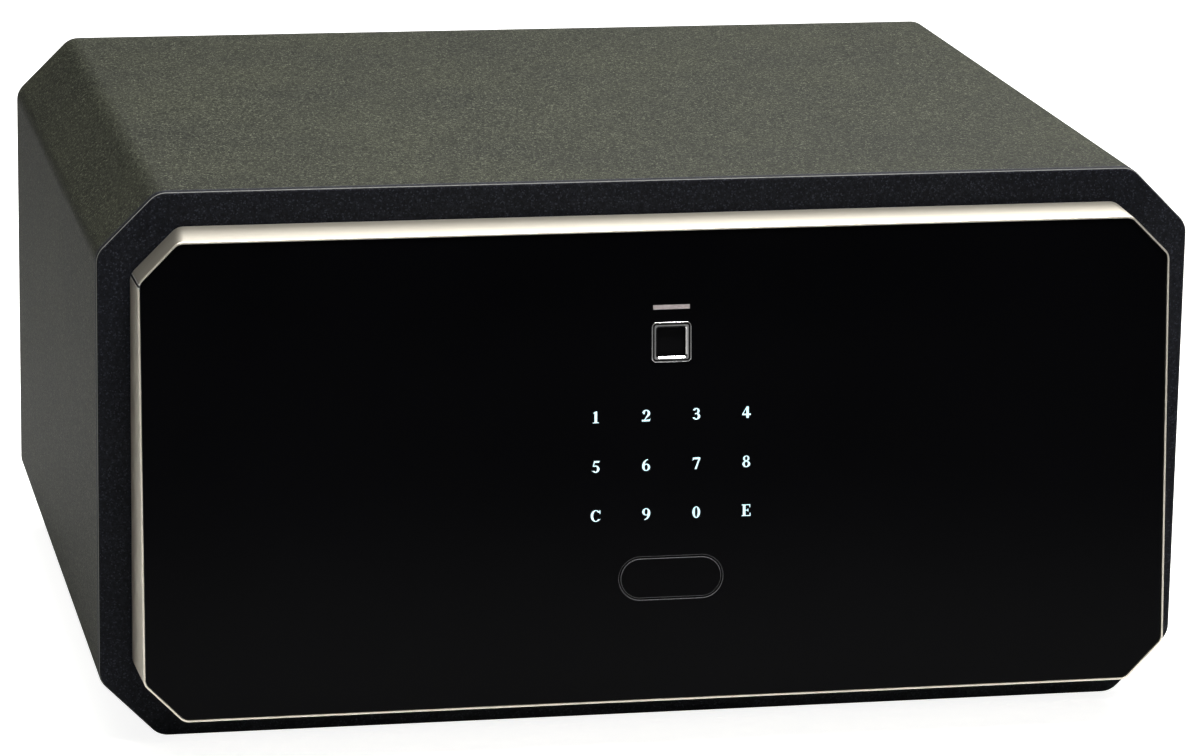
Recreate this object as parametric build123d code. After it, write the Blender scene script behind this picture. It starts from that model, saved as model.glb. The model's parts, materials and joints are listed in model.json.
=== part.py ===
from build123d import *
import math
import os

# Compact bedside gun safe: an eight-sided steel body with an inclined, glass-faced door.
# Units are millimetres.  +Z is up, the door faces -Y, and the origin is the centre of the
# bounding box at floor level.

# ---------------------------------------------------------------- body
WIDTH = 340.0            # outside width of the steel body
BODY_HEIGHT = 170.0      # outside height of the steel body, without the feet
BODY_DEPTH = 260.0       # front ring face to back face
CORNER_LEG = 18.4        # leg of the 45 degree corner faces
CORNER_BEND = 7.0        # outer bend radius between faces
STEEL = 3.0              # wall, ring and back plate thickness
RING_EDGE = 1.0          # rounded front edge of the ring
FOOT_HEIGHT = 2.5
FOOT_RADIUS = 8.0
FOOT_EDGE = 0.8
FOOT_X = 135.0           # feet, from the middle of the floor
FOOT_Y = 105.0

# ---------------------------------------------------------------- door
DOOR_MARGIN = 10.0       # steel band left visible round the door
DOOR_GAP = 1.2           # gap between the trim's back edge and the ring
DOOR_LEG = 14.3          # corner leg of the door trim
DOOR_BEND = 5.0
NOSE_BOTTOM = 28.0       # how far the door stands out of the ring, at its bottom edge
NOSE_TOP = 15.5          # the same, at its top edge
LIP_OVERLAP = 2.0        # how far the trim covers the ring's inner lip
TRIM_WALL = 1.7          # trim thickness where it meets the door plate
NOSE_WIDTH = 318.8       # trim outline on the inclined face, seen from the front
NOSE_HEIGHT = 145.2
NOSE_LIFT = 0.5          # middle of that outline, above the middle of the door
NOSE_LEG = 12.0
NOSE_BEND = 4.0
LIP_WIDTH = 0.6          # bright front edge of the trim, round the glass
TRIM_EDGE = 0.3          # rounded outer corner of that edge
TRIM_BACK_EDGE = 0.8     # rounded outer corner at the ring, which swings past the body's corner
SEAM_WIDTH = 0.5         # butt joint of the bent trim strip
GLASS_THICKNESS = 3.0
GLASS_RECESS = 0.5       # glass face below the trim's front edge
GLASS_GAP = 0.3          # groove round the glass
GROUND_EDGE = 0.2        # ground bevel along the oblong opening and its cap
PLATE_THICKNESS = 3.0    # steel door plate
PLATE_CLEARANCE = 0.5    # door plate edge to the inside of the trim
CABLE_HALF = 8.0         # opening for the panel's wiring: half width
CARRIER_GAP = 2.0        # moulded carrier, inside the trim's front edge
CARRIER_WALL = 3.0
CARRIER_FRONT = 2.0      # thickness of the carrier's front, behind the glass
COVER_BACK = 28.0        # inner cover's back face, behind the ring face
COVER_WALL = 2.0

# ---------------------------------------------------------------- hinge
HINGE_X = -163.5         # hinge axis, beside the left wall
HINGE_SET_BACK = 12.0    # hinge axis behind the ring face
HINGE_LEVELS = (45.0, 130.0)
HUB_RADIUS = 3.0
PIN_RADIUS = 1.5
PIN_CLEARANCE = 0.05
ARM_HEIGHT = 19.4
ARM_THICKNESS = 2.5      # strap of the arm that lies on the door plate
ARM_RISE = 3.0           # thickness of the bends that pass the ring's lip
ARM_DEPTH = 11.0         # how far the arm reaches behind the hinge axis
ARM_CORNER = 13.8        # the bend that turns forward, from the hinge axis
ARM_REACH = 44.0         # end of the strap, from the hinge axis
ARM_SCREWS = (26.0, 37.0)
EAR_GAP = 0.3
EAR_THICKNESS = 3.0
EAR_DEPTH = 10.0
BRACKET_THICKNESS = 2.0
BRACKET_DEPTHS = (4.0, 33.0)     # bracket plate, behind the hinge axis
BRACKET_SCREWS = (17.0, 28.0)

# ---------------------------------------------------------------- screws
SCREW_HEAD = 2.8         # head radius
SCREW_HEAD_HEIGHT = 1.6
SCREW_SHANK = 1.6
SCREW_LENGTH = 4.4
COVER_SCREW_SHANK = 1.25
COVER_SCREW_LENGTH = 14.0
CROSS_ARM = 1.1          # cross recess, as shares of the head radius
CROSS_WIDTH = 0.3

# ---------------------------------------------------------------- bolt work
BOLT_RADIUS = 4.0
BOLT_LEVELS = (42.0, 133.0)
BOLT_SET_BACK = 14.0     # bolt axis behind the ring face
BOLT_TIP_X = 151.5       # bolt tips when withdrawn
BOLT_THROW = 12.0
RUNNING_FIT = 0.06
MODULE = 1.0             # gear tooth module
PINION_TEETH = 12
SECTOR_RADIUS = BOLT_THROW / (math.pi / 2)   # a quarter turn of the key throws the bolts
CARRIAGE_SET_BACK = 8.0
CARRIAGE_THICKNESS = 2.5
CARRIAGE_X = (62.0, 100.0)
CARRIAGE_MARGIN = 7.0    # carriage past the bolt axes, up and down
CARRIAGE_WINDOW = ((66.0, 92.0), (98.0, 118.0))
ARM_START = -26.0        # free end of the arm that carries the lower rack
ARM_BAND = 7.0
LUG_X = (84.0, 97.0)
LUG_HALF = 6.5
GUIDE_X = (128.0, 146.0)
GUIDE_HALF = 8.0
GUIDE_EDGE = 3.0
BOLT_TIP = 1.0           # chamfer on the bolt's end
GEAR_WIDTH = 7.0         # pinion and its rack
PINION_X = 84.0
PINION_LEVEL = 88.0
PINION_BORE = 1.5
SHAFT_RADIUS = 1.44
SECTOR_THICKNESS = 2.2
SECTOR_TEETH = 7
PLUG_BACK = 8.2          # back end of the key plug, where the sector starts
MOTOR_RADIUS = 6.0
MOTOR_LENGTH = 20.0
GEARBOX_SIZE = (12.0, 10.0, 10.0)
POST_X = (46.0, 52.0)    # post that holds the gearbox
KEEPER_THICKNESS = 2.5
KEEPER_DEPTH = 24.5
KEEPER_MARGIN = 14.0     # each keeper past its bolt axis, up and down
KEEPER_SLOT = 11.0       # square opening for the bolt

# ---------------------------------------------------------------- front panel
PANEL_X = 2.5            # centre line of the controls
BAR_LEVEL = 136.8
BAR_SIZE = (11.4, 1.45)
BAR_HEIGHT = 0.15        # status bar, above the glass
SENSOR_LEVEL = 126.1
BEZEL_SIZE = 12.4
BEZEL_CORNER = 1.4
BEZEL_HEIGHT = 0.35      # bezel's front, above the glass
BEZEL_EDGE = 0.12
BEZEL_RIDGE = 0.4        # width of the outer ridge
BEZEL_GROOVE = 0.5       # width of the groove
BEZEL_GROOVE_DEPTH = 0.5
SENSOR_SIZE = 8.9
SENSOR_CORNER = 0.6
SENSOR_RECESS = 1.3      # sensor pad, below the glass
SENSOR_SLOPE = 0.45      # bevel round the pad's opening
PRESS_GAP = 0.1          # inserts, narrower than their openings
CIRCUIT_BOARD = 1.6      # circuit board thickness
KEYPAD_BOARD_SIZE = (74.0, 46.0)
KEYPAD_CHIPS = ((-22.0, 0.0), (4.0, -8.0), (22.0, 9.0))
KEY_LEVELS = (103.8, 88.6, 73.5)
KEY_PITCH = 15.6
GLYPH_HEIGHT = 3.6
GLYPH_WIDTH = 4.5        # width of a character's unit cell; most fill about 0.6 of it
LEGEND_HEIGHT = 0.1      # characters, above the glass
LEGENDS = ("1234", "5678", "C90E")
PILL_LEVEL = 53.6
PILL_SIZE = (32.4, 13.3)
CAP_GAP = 0.3            # groove round the oblong cap
CAP_THICKNESS = 2.3
WELL_RIM = 1.5           # wall of the cup behind the oblong opening
WELL_DEPTHS = (-14.4, -13.0)     # its bottom, from the ring face
LOCK_OFFSET = -8.5       # key cylinder, from the middle of the oblong cover
PORT_OFFSET = 9.0        # emergency power socket, from the same middle
LOCK_RADIUS = 6.0
LOCK_DEPTHS = (-16.5, 6.0)
PLUG_RADIUS = 3.8
KEYWAY = (1.4, 4.8)
PORT_SIZE = (8.0, 3.0)
PORT_WALL = 0.4
PORT_DEPTHS = (-18.5, -9.0)

# ---------------------------------------------------------------- inside
FOAM = 6.0
FELT = 3.0
LINER_X = 146.0          # half width of the floor and ceiling liners
LINER_LEVELS = (24.0, 151.0)     # side liners
LINER_EDGE = 4.0
LINER_END = 0.5          # gap to the rear liner
DOOR_ROOM = 50.0         # liners that the door swings past start this far behind the ring face
BOLT_ROOM = 26.0
REAR_LINER_LEG = 14.0
ACCESS_MARGIN = 4.0      # access holes, wider than the anchor holes
LAMP_X = 60.0            # lamp strip: half length, depths and height
LAMP_DEPTHS = (34.0, 44.0)
LAMP_HEIGHT = 5.0
LAMP_EDGE = 1.5
CELL_RADIUS = 7.25
CELL_LENGTH = 50.0
CELL_PITCH = 15.2
CELL_COUNT = 4
BATTERY_X = -106.0       # middle of the battery box
BATTERY_LEVEL = 87.0
CELL_SET_BACK = 15.0
CELL_CAN = 48.4          # cell without its button
CELL_BUTTON = 2.7
CELL_EDGE = 0.7
CELL_SPACING = 14.85
HATCH_GAP = 0.3
HATCH_HEIGHT = 56.0
GRIP_HALF = 9.0          # finger grooves of the hatch
GRIP_PITCH = 2.4
GRIP_COUNT = 4
TRAY_SIDE = 1.0
TRAY_END = 1.5
CONTACT_HALF = 5.0
CONTACT_THICKNESS = 0.5
RESET_X = -20.0
RESET_LEVEL = 120.0
RESET_RADIUS = 3.0
RESET_STAND = 1.2        # button, proud of the cover
RESET_FLANGE = 1.5
RESET_BACK = 23.5        # button's inner end, and how thick its flange is
RESET_FLANGE_DEPTH = 1.5
COVER_LEG = 12.0
COVER_BEND = 4.0
COVER_EDGE = 1.5
COVER_BOSS_X = 5.0       # middle column of bosses
BOSS_RADIUS = 4.0
BOSS_INSET = 7.0         # screw bosses, from the cover's edges
BOARD_X = (-62.0, 42.0)
BOARD_LEVELS = (80.0, 144.0)
BOARD_DEPTHS = (2.0, 3.6)
BOARD_INSET = 5.0
SPACER_RADIUS = 2.5
ANCHOR_RADIUS = 5.25
ANCHOR_SPACING_X = 200.0
ANCHOR_SPACING_Y = 120.0

# ---------------------------------------------------------------- derived places
RING_Y = (NOSE_BOTTOM - BODY_DEPTH) / 2
BACK_Y = RING_Y + BODY_DEPTH
MIDDLE = FOOT_HEIGHT + BODY_HEIGHT / 2
FLOOR = FOOT_HEIGHT + STEEL
CEILING = FOOT_HEIGHT + BODY_HEIGHT - STEEL
WALL_X = WIDTH / 2 - STEEL
DOOR_WIDTH = WIDTH - 2 * DOOR_MARGIN
DOOR_HEIGHT = BODY_HEIGHT - 2 * DOOR_MARGIN
TILT = math.degrees(math.atan((NOSE_BOTTOM - NOSE_TOP) / DOOR_HEIGHT))
FACE_MIDDLE_Y = RING_Y - (NOSE_BOTTOM + NOSE_TOP) / 2
CAVITY_MIDDLE_Y = (RING_Y + BACK_Y) / 2
PLATE_BACK = -DOOR_GAP
PLATE_FRONT = -DOOR_GAP - PLATE_THICKNESS
GLASS_BACK = -GLASS_RECESS - GLASS_THICKNESS
NOSE_REACH = NOSE_BOTTOM + 4
COVER_LEFT = -145.5
COVER_RIGHT = 150.0
COVER_BOTTOM = 18.0
COVER_TOP = 157.0
LINER_BACK = BODY_DEPTH - STEEL - FELT - LINER_END
LOCK_X = PANEL_X + LOCK_OFFSET
PINION_RADIUS = MODULE * PINION_TEETH / 2
RACK_PITCH_LINE = CARRIAGE_SET_BACK + CARRIAGE_THICKNESS + 1.6 * MODULE
PINION_SET_BACK = RACK_PITCH_LINE + PINION_RADIUS
KEEPER_X = 158.5
GLASS_FACE = -GLASS_RECESS
TOOTH_PITCH = math.pi * MODULE


# ---------------------------------------------------------------- helpers
def face_at(y):
    """Vertical drawing plane at depth y, seen from the front: x right, z up."""
    return Plane(origin=(0, y, 0), x_dir=(1, 0, 0), z_dir=(0, -1, 0))


def panel_face(depth=0.0):
    """Drawing plane parallel to the inclined front, `depth` outside its surface."""
    lean = math.radians(TILT)
    normal = Vector(0, -math.cos(lean), math.sin(lean))
    return Plane(origin=Vector(0, FACE_MIDDLE_Y, MIDDLE) + normal * depth,
                 x_dir=(1, 0, 0), z_dir=normal)


def on_panel(x, level):
    """Place on the inclined face at a height above the floor."""
    return Pos(x, (level - MIDDLE) / math.cos(math.radians(TILT)))


def slab(sketch, front, back):
    """Solid from a sketch of the front view; distances are behind the ring face."""
    return extrude(face_at(RING_Y + front) * sketch, amount=front - back)


def panel_slab(sketch, front, back):
    """Solid square to the inclined face; depths are negative below its surface."""
    return extrude(panel_face(back) * sketch, amount=front - back)


def block(x_range, depth_range, z_range):
    """Box from its limits; the middle pair is behind the ring face."""
    (x0, x1), (y0, y1), (z0, z1) = x_range, depth_range, z_range
    middle = Pos((x0 + x1) / 2, RING_Y + (y0 + y1) / 2, (z0 + z1) / 2)
    return middle * Box(x1 - x0, y1 - y0, z1 - z0)


def rod_x(x_range, set_back, level, radius):
    x0, x1 = x_range
    return Pos((x0 + x1) / 2, RING_Y + set_back, level) * Rot(0, 90, 0) * Cylinder(radius, x1 - x0)


def rod_y(x, depth_range, level, radius):
    y0, y1 = depth_range
    return Pos(x, RING_Y + (y0 + y1) / 2, level) * Rot(90, 0, 0) * Cylinder(radius, y1 - y0)


def rod_z(x, set_back, z_range, radius):
    z0, z1 = z_range
    return Pos(x, RING_Y + set_back, (z0 + z1) / 2) * Cylinder(radius, z1 - z0)


def octagon(width, height, leg, bend):
    """Rectangle with 45 degree corners, every corner rounded."""
    x, z = width / 2, height / 2
    corners = [(x, z - leg), (x - leg, z), (leg - x, z), (-x, z - leg),
               (-x, leg - z), (leg - x, -z), (x - leg, -z), (x, leg - z)]
    outline = make_face(Polyline(*corners, close=True))
    return fillet(outline.vertices(), bend)


def inset_octagon(width, height, leg, bend, inset):
    """The octagon moved in by `inset`, with its walls parallel to the first."""
    shrink = 2 * inset
    new_leg = leg - inset * (2 - math.sqrt(2))
    return octagon(width - shrink, height - shrink, new_leg, max(bend - inset, 0.5))


def body_outline(inset=0.0):
    return Pos(0, MIDDLE) * inset_octagon(WIDTH, BODY_HEIGHT, CORNER_LEG, CORNER_BEND, inset)


def door_outline(inset=0.0):
    return Pos(0, MIDDLE) * inset_octagon(DOOR_WIDTH, DOOR_HEIGHT, DOOR_LEG, DOOR_BEND, inset)


def nose_outline(inset=0.0):
    """Outline of the trim's front edge, as drawn on the inclined face."""
    stretch = 1 / math.cos(math.radians(TILT))
    return Pos(0, NOSE_LIFT) * inset_octagon(NOSE_WIDTH, NOSE_HEIGHT * stretch, NOSE_LEG, NOSE_BEND, inset)


def nose_body(base_inset, nose_inset):
    """Solid between the door outline at the trim's back edge and the inclined outline."""
    base = face_at(RING_Y - DOOR_GAP) * door_outline(base_inset)
    return loft([base, panel_face() * nose_outline(nose_inset)], ruled=True)


def behind_panel(depth):
    """Large block that fills everything behind the inclined face, `depth` outside it."""
    return extrude(panel_face(depth) * Rectangle(2 * WIDTH, 2 * WIDTH), amount=-WIDTH)


def pill(size):
    return SlotOverall(size[0], size[1])


def gear_outline(pitch_radius, tooth_count, first_angle=90.0):
    """Disc with tooth_count teeth, one module each, spread evenly about first_angle."""
    root = pitch_radius - 1.2 * MODULE
    step = math.degrees(math.pi * MODULE / pitch_radius)
    outline = Circle(root)
    for index in range(tooth_count):
        angle = first_angle + (index - (tooth_count - 1) / 2) * step
        outline += Rot(0, 0, angle) * tooth(root - 0.3 * MODULE, pitch_radius + 0.8 * MODULE)
    return outline


def tooth(root, tip):
    """Symmetrical tapered tooth that points along +X."""
    root_half, tip_half = 0.9 * MODULE, 0.32 * MODULE
    return make_face(Polyline((root, -root_half), (tip, -tip_half), (tip, tip_half),
                              (root, root_half), close=True))


def rack_outline(first, last, contact):
    """Row of teeth along +X that point up from y = 0, with a gap at x = contact."""
    pitch = math.pi * MODULE
    low = math.ceil((first - contact) / pitch - 0.5)
    high = math.floor((last - contact) / pitch - 0.5)
    teeth = Sketch()
    for index in range(low, high + 1):
        place = Pos(contact + (index + 0.5) * pitch, -0.4 * MODULE)
        teeth += place * Rot(0, 0, 90) * tooth(0, 2.4 * MODULE)
    return teeth


def screw(shank_radius=SCREW_SHANK, length=SCREW_LENGTH):
    """Pan-head screw along -Z with its head above z = 0 and a cross recess."""
    head = Pos(0, 0, SCREW_HEAD_HEIGHT / 2) * Cylinder(SCREW_HEAD, SCREW_HEAD_HEIGHT)
    top_edge = head.edges().filter_by(GeomType.CIRCLE).sort_by(Axis.Z)[-1]
    head = fillet(top_edge, 0.45 * SCREW_HEAD_HEIGHT)
    arm, width, depth = SCREW_HEAD * CROSS_ARM, SCREW_HEAD * CROSS_WIDTH, 1.2 * SCREW_HEAD_HEIGHT
    recess = Pos(0, 0, SCREW_HEAD_HEIGHT) * (Box(arm, width, depth) + Box(width, arm, depth))
    shank = Pos(0, 0, -length / 2) * Cylinder(shank_radius, length)
    return head + shank - recess


# ---------------------------------------------------------------- body parts
def anchor_places():
    return [(x * ANCHOR_SPACING_X / 2, CAVITY_MIDDLE_Y + y * ANCHOR_SPACING_Y / 2)
            for x in (-1, 1) for y in (-1, 1)]


def outer_shell():
    """Folded steel wrap, open at both ends, with four anchor holes in its floor."""
    wrap = slab(body_outline() - body_outline(STEEL), STEEL, BODY_DEPTH - STEEL)
    for x, y in anchor_places():
        wrap -= Pos(x, y, FLOOR) * Cylinder(ANCHOR_RADIUS, 4 * STEEL)
    for level in HINGE_LEVELS:
        for depth in bracket_screw_depths():
            hole = Pos(-WALL_X, RING_Y + depth, level) * Rot(0, 90, 0)
            wrap -= hole * Cylinder(SCREW_SHANK, 2 * STEEL - 1)
    return wrap


def front_ring():
    """Front frame welded to the wrap; the door trim overlaps its inner lip."""
    plate = slab(body_outline(), 0, STEEL)
    rim = plate.faces().sort_by(Axis.Y)[0].outer_wire().edges()
    plate = fillet(rim, RING_EDGE)
    return plate - slab(door_outline(LIP_OVERLAP), -1, STEEL + 1)


def back_plate():
    """Back of the body with two wall-anchor holes."""
    plate = slab(body_outline(), BODY_DEPTH - STEEL, BODY_DEPTH)
    rim = plate.faces().sort_by(Axis.Y)[-1].outer_wire().edges()
    plate = fillet(rim, RING_EDGE)
    for side in (-1, 1):
        plate -= rod_y(side * ANCHOR_SPACING_X / 2, (BODY_DEPTH - 2 * STEEL, BODY_DEPTH + STEEL),
                       MIDDLE, ANCHOR_RADIUS)
    return plate


def rubber_feet():
    """Four domed rubber feet under the floor."""
    feet = []
    for x, y in ((-1, -1), (1, -1), (-1, 1), (1, 1)):
        place = Pos(x * FOOT_X, CAVITY_MIDDLE_Y + y * FOOT_Y, FOOT_HEIGHT / 2)
        foot = place * Cylinder(FOOT_RADIUS, FOOT_HEIGHT)
        feet.append(fillet(foot.edges().sort_by(Axis.Z)[0], FOOT_EDGE))
    return Compound(feet)


def floor_liner():
    """Foam pad on the floor, with access holes over the anchor bolts."""
    pad = block((-LINER_X, LINER_X), (STEEL + 1, LINER_BACK), (FLOOR, FLOOR + FOAM))
    pad = fillet(pad.edges().filter_by(Axis.Z), LINER_EDGE)
    for x, y in anchor_places():
        pad -= Pos(x, y, FLOOR) * Cylinder(ANCHOR_RADIUS + ACCESS_MARGIN, 4 * FOAM)
    return pad


def side_liner(side):
    """Felt panel on a side wall: +1 is the bolt side, -1 the hinge side."""
    front = BOLT_ROOM if side > 0 else DOOR_ROOM
    near, far = sorted((side * WALL_X, side * (WALL_X - FELT)))
    panel = block((near, far), (front, LINER_BACK), LINER_LEVELS)
    return fillet(panel.edges().filter_by(Axis.X), LINER_EDGE)


def ceiling_liner():
    panel = block((-LINER_X, LINER_X), (DOOR_ROOM, LINER_BACK), (CEILING - FELT, CEILING))
    return fillet(panel.edges().filter_by(Axis.Z), LINER_EDGE)


def rear_liner():
    """Felt panel on the back plate, with openings over the wall anchors."""
    width, height = 2 * (WALL_X - LINER_EDGE), CEILING - FLOOR - 2
    outline = Pos(0, MIDDLE) * octagon(width, height, REAR_LINER_LEG, LINER_EDGE)
    for side in (-1, 1):
        outline -= Pos(side * ANCHOR_SPACING_X / 2, MIDDLE) * Circle(ANCHOR_RADIUS + ACCESS_MARGIN)
    return slab(outline, BODY_DEPTH - STEEL - FELT, BODY_DEPTH - STEEL)


def interior_light():
    """Lamp strip under the roof, just behind the door."""
    bar = block((-LAMP_X, LAMP_X), LAMP_DEPTHS, (CEILING - LAMP_HEIGHT, CEILING))
    return chamfer(bar.edges().filter_by(Axis.X).group_by(Axis.Z)[0], LAMP_EDGE)


def bolt_keeper():
    """Two angles behind the ring's right lip; each thrown bolt passes through a square opening."""
    half = KEEPER_SLOT / 2
    angles = []
    for level in BOLT_LEVELS:
        levels = (level - KEEPER_MARGIN, level + KEEPER_MARGIN)
        angle = block((KEEPER_X, KEEPER_X + KEEPER_THICKNESS), (STEEL, KEEPER_DEPTH), levels)
        angle += block((KEEPER_X, WALL_X), (KEEPER_DEPTH - KEEPER_THICKNESS, KEEPER_DEPTH), levels)
        angle -= block((KEEPER_X - 1, KEEPER_X + KEEPER_THICKNESS + 1),
                       (BOLT_SET_BACK - half, BOLT_SET_BACK + half), (level - half, level + half))
        angles += angle.solids()
    return Compound(angles)


# ---------------------------------------------------------------- hinge parts
def bracket_screw_depths():
    return [HINGE_SET_BACK + depth for depth in BRACKET_SCREWS]


def hinge_brackets():
    """Two forked brackets on the left wall, one for each hinge."""
    brackets = []
    ear_start = ARM_HEIGHT / 2 + EAR_GAP
    reach = ear_start + EAR_THICKNESS
    depths = [HINGE_SET_BACK + depth for depth in BRACKET_DEPTHS]
    ear_depths = (HINGE_SET_BACK, HINGE_SET_BACK + EAR_DEPTH)
    for level in HINGE_LEVELS:
        bracket = block((-WALL_X, -WALL_X + BRACKET_THICKNESS), depths, (level - reach, level + reach))
        for side in (-1, 1):
            z_range = sorted((level + side * ear_start, level + side * reach))
            ear = block((-WALL_X, HINGE_X + HUB_RADIUS), ear_depths, z_range)
            ear += rod_z(HINGE_X, HINGE_SET_BACK, z_range, HUB_RADIUS)
            ear -= rod_z(HINGE_X, HINGE_SET_BACK, (level - 2 * reach, level + 2 * reach), PIN_RADIUS)
            bracket += ear
        for depth in bracket_screw_depths():
            hole = Pos(-WALL_X, RING_Y + depth, level) * Rot(0, 90, 0)
            bracket -= hole * Cylinder(SCREW_SHANK, 4 * STEEL)
        brackets.append(bracket)
    return Compound([part for bracket in brackets for part in bracket.solids()])


def hinge_pins():
    """Headed pins through the bracket ears."""
    pins = []
    reach = ARM_HEIGHT / 2 + EAR_GAP + EAR_THICKNESS
    for level in HINGE_LEVELS:
        pin = rod_z(HINGE_X, HINGE_SET_BACK, (level - reach - 1, level + reach), PIN_RADIUS)
        pin += rod_z(HINGE_X, HINGE_SET_BACK, (level + reach, level + reach + 1), PIN_RADIUS + 1)
        pins.append(pin)
    return Compound(pins)


def bracket_screws():
    """Four screws that hold the hinge brackets to the wall."""
    screws = []
    for level in HINGE_LEVELS:
        for depth in bracket_screw_depths():
            place = Pos(-WALL_X + BRACKET_THICKNESS, RING_Y + depth, level) * Rot(0, 90, 0)
            screws.append(place * screw())
    return Compound(screws)


def hinge_arms():
    """Gooseneck arms that reach round the ring's lip to the door plate.

    The plan is drawn from the hinge axis: back into the safe, across behind the lip, and
    forward to a strap on the door plate."""
    foot = PLATE_BACK - HINGE_SET_BACK
    left, corner = -ARM_RISE * 0.3, ARM_CORNER + ARM_RISE
    bars = ((left, 2.6, 0, ARM_DEPTH), (left, corner, ARM_DEPTH - ARM_RISE, ARM_DEPTH),
            (ARM_CORNER, corner, foot, ARM_DEPTH), (ARM_CORNER, ARM_REACH, foot, foot + ARM_THICKNESS))
    plan = Circle(HUB_RADIUS)
    for x0, x1, y0, y1 in bars:
        plan += Pos((x0 + x1) / 2, (y0 + y1) / 2) * Rectangle(x1 - x0, y1 - y0)
    plan -= Circle(PIN_RADIUS + PIN_CLEARANCE)
    arms = []
    for level in HINGE_LEVELS:
        place = Pos(HINGE_X, RING_Y + HINGE_SET_BACK, level - ARM_HEIGHT / 2)
        arm = place * extrude(plan, ARM_HEIGHT)
        for x in arm_screw_columns():
            arm -= rod_y(x, (-2 * ARM_THICKNESS, 2 * ARM_THICKNESS), level, SCREW_SHANK)
        arms.append(arm)
    return Compound([part for arm in arms for part in arm.solids()])


def arm_screw_columns():
    return [HINGE_X + distance for distance in ARM_SCREWS]


def arm_screws():
    """Screws through the arm straps into the door plate."""
    screws = []
    for level in HINGE_LEVELS:
        for x in arm_screw_columns():
            place = Pos(x, RING_Y + PLATE_BACK + ARM_THICKNESS, level) * Rot(-90, 0, 0)
            screws.append(place * screw())
    return Compound(screws)


# ---------------------------------------------------------------- door parts
def door_plate():
    """Steel plate that carries the whole door, inside the trim."""
    through = (PLATE_FRONT - STEEL, PLATE_BACK + STEEL)
    plate = slab(door_outline(TRIM_WALL + PLATE_CLEARANCE), PLATE_FRONT, PLATE_BACK)
    plate -= rod_y(LOCK_X, through, PILL_LEVEL, LOCK_RADIUS + 0.2)
    plate -= block((PANEL_X - CABLE_HALF, PANEL_X + CABLE_HALF), through,
                   (SENSOR_LEVEL - CABLE_HALF, SENSOR_LEVEL + CABLE_HALF))
    for level in HINGE_LEVELS:
        for x in arm_screw_columns():
            plate -= rod_y(x, through, level, SCREW_SHANK)
    return plate


def trim_frame():
    """Bent metal strip round the door, closed by one butt joint at the upper left corner."""
    frame = nose_body(0, 0)
    front = frame.faces().sort_by(Axis((0, 0, 0), panel_face().z_dir))[-1]
    frame = fillet(front.outer_wire().edges(), TRIM_EDGE)
    frame = fillet(frame.faces().sort_by(Axis.Y)[-1].outer_wire().edges(), TRIM_BACK_EDGE)
    frame -= nose_body(TRIM_WALL, LIP_WIDTH)
    corner = Pos(-DOOR_WIDTH / 2, RING_Y - NOSE_BOTTOM / 2, MIDDLE + DOOR_HEIGHT / 2 - DOOR_LEG)
    return frame - corner * Rot(0, 22.5, 0) * Box(14, 2 * NOSE_BOTTOM, SEAM_WIDTH)


def glass_panel():
    """Black glass face with openings for the status bar, the sensor and the key cover."""
    outline = nose_outline(LIP_WIDTH + GLASS_GAP)
    outline -= on_panel(PANEL_X, BAR_LEVEL) * Rectangle(*BAR_SIZE)
    outline -= on_panel(PANEL_X, SENSOR_LEVEL) * RectangleRounded(BEZEL_SIZE, BEZEL_SIZE, BEZEL_CORNER)
    outline -= on_panel(PANEL_X, PILL_LEVEL) * pill(PILL_SIZE)
    glass = panel_slab(outline, GLASS_FACE, GLASS_BACK)
    return glass - bevelled_rim(PILL_SIZE, 1)


def bevelled_rim(size, side):
    """Wedge ring that cuts a ground bevel along an oblong edge: side 1 outside it, -1 inside."""
    place = on_panel(PANEL_X, PILL_LEVEL)
    grow = 2 * GROUND_EDGE * side
    at_face = panel_face(GLASS_FACE) * place * pill((size[0] + grow, size[1] + grow))
    below = panel_face(GLASS_FACE - GROUND_EDGE) * place * pill(size)
    cone = loft([below, at_face])
    if side > 0:
        return cone
    margin = pill((size[0] + 1, size[1] + 1))
    return panel_slab(place * margin, GLASS_FACE, GLASS_FACE - GROUND_EDGE) - cone


def panel_carrier():
    """Moulded carrier that fills the trim behind the glass, hollow towards the door plate."""
    width, height = NOSE_WIDTH - 2 * CARRIER_GAP, NOSE_HEIGHT - 2 * CARRIER_GAP
    outline = Pos(0, MIDDLE) * octagon(width, height, NOSE_LEG, NOSE_BEND - 1)
    shrink = 2 * CARRIER_WALL
    hollow = Pos(0, MIDDLE) * octagon(width - shrink, height - shrink, NOSE_LEG - 2, NOSE_BEND - 2)
    carrier = slab(outline, -NOSE_REACH, PLATE_FRONT) & behind_panel(GLASS_BACK)
    carrier -= slab(hollow, -NOSE_REACH, 0) & behind_panel(GLASS_BACK - CARRIER_FRONT)
    room = BEZEL_SIZE + 1
    holes = on_panel(PANEL_X, BAR_LEVEL) * Rectangle(BAR_SIZE[0] + 2, BAR_SIZE[1] + 2)
    holes += on_panel(PANEL_X, SENSOR_LEVEL) * RectangleRounded(room, room, BEZEL_CORNER)
    well = 2 * WELL_RIM + 2.4
    holes += on_panel(PANEL_X, PILL_LEVEL) * pill((PILL_SIZE[0] + well, PILL_SIZE[1] + well))
    return carrier - panel_slab(holes, 0, -3 * GLASS_THICKNESS)


def indicator_bar():
    """Slim status bar above the sensor."""
    outline = on_panel(PANEL_X, BAR_LEVEL) * Rectangle(BAR_SIZE[0] - PRESS_GAP, BAR_SIZE[1] - PRESS_GAP)
    return panel_slab(outline, GLASS_FACE + BAR_HEIGHT, GLASS_BACK)


def rounded_square(size, corner):
    """Square with rounded corners on the sensor's place."""
    return on_panel(PANEL_X, SENSOR_LEVEL) * RectangleRounded(size, size, corner)


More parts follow.
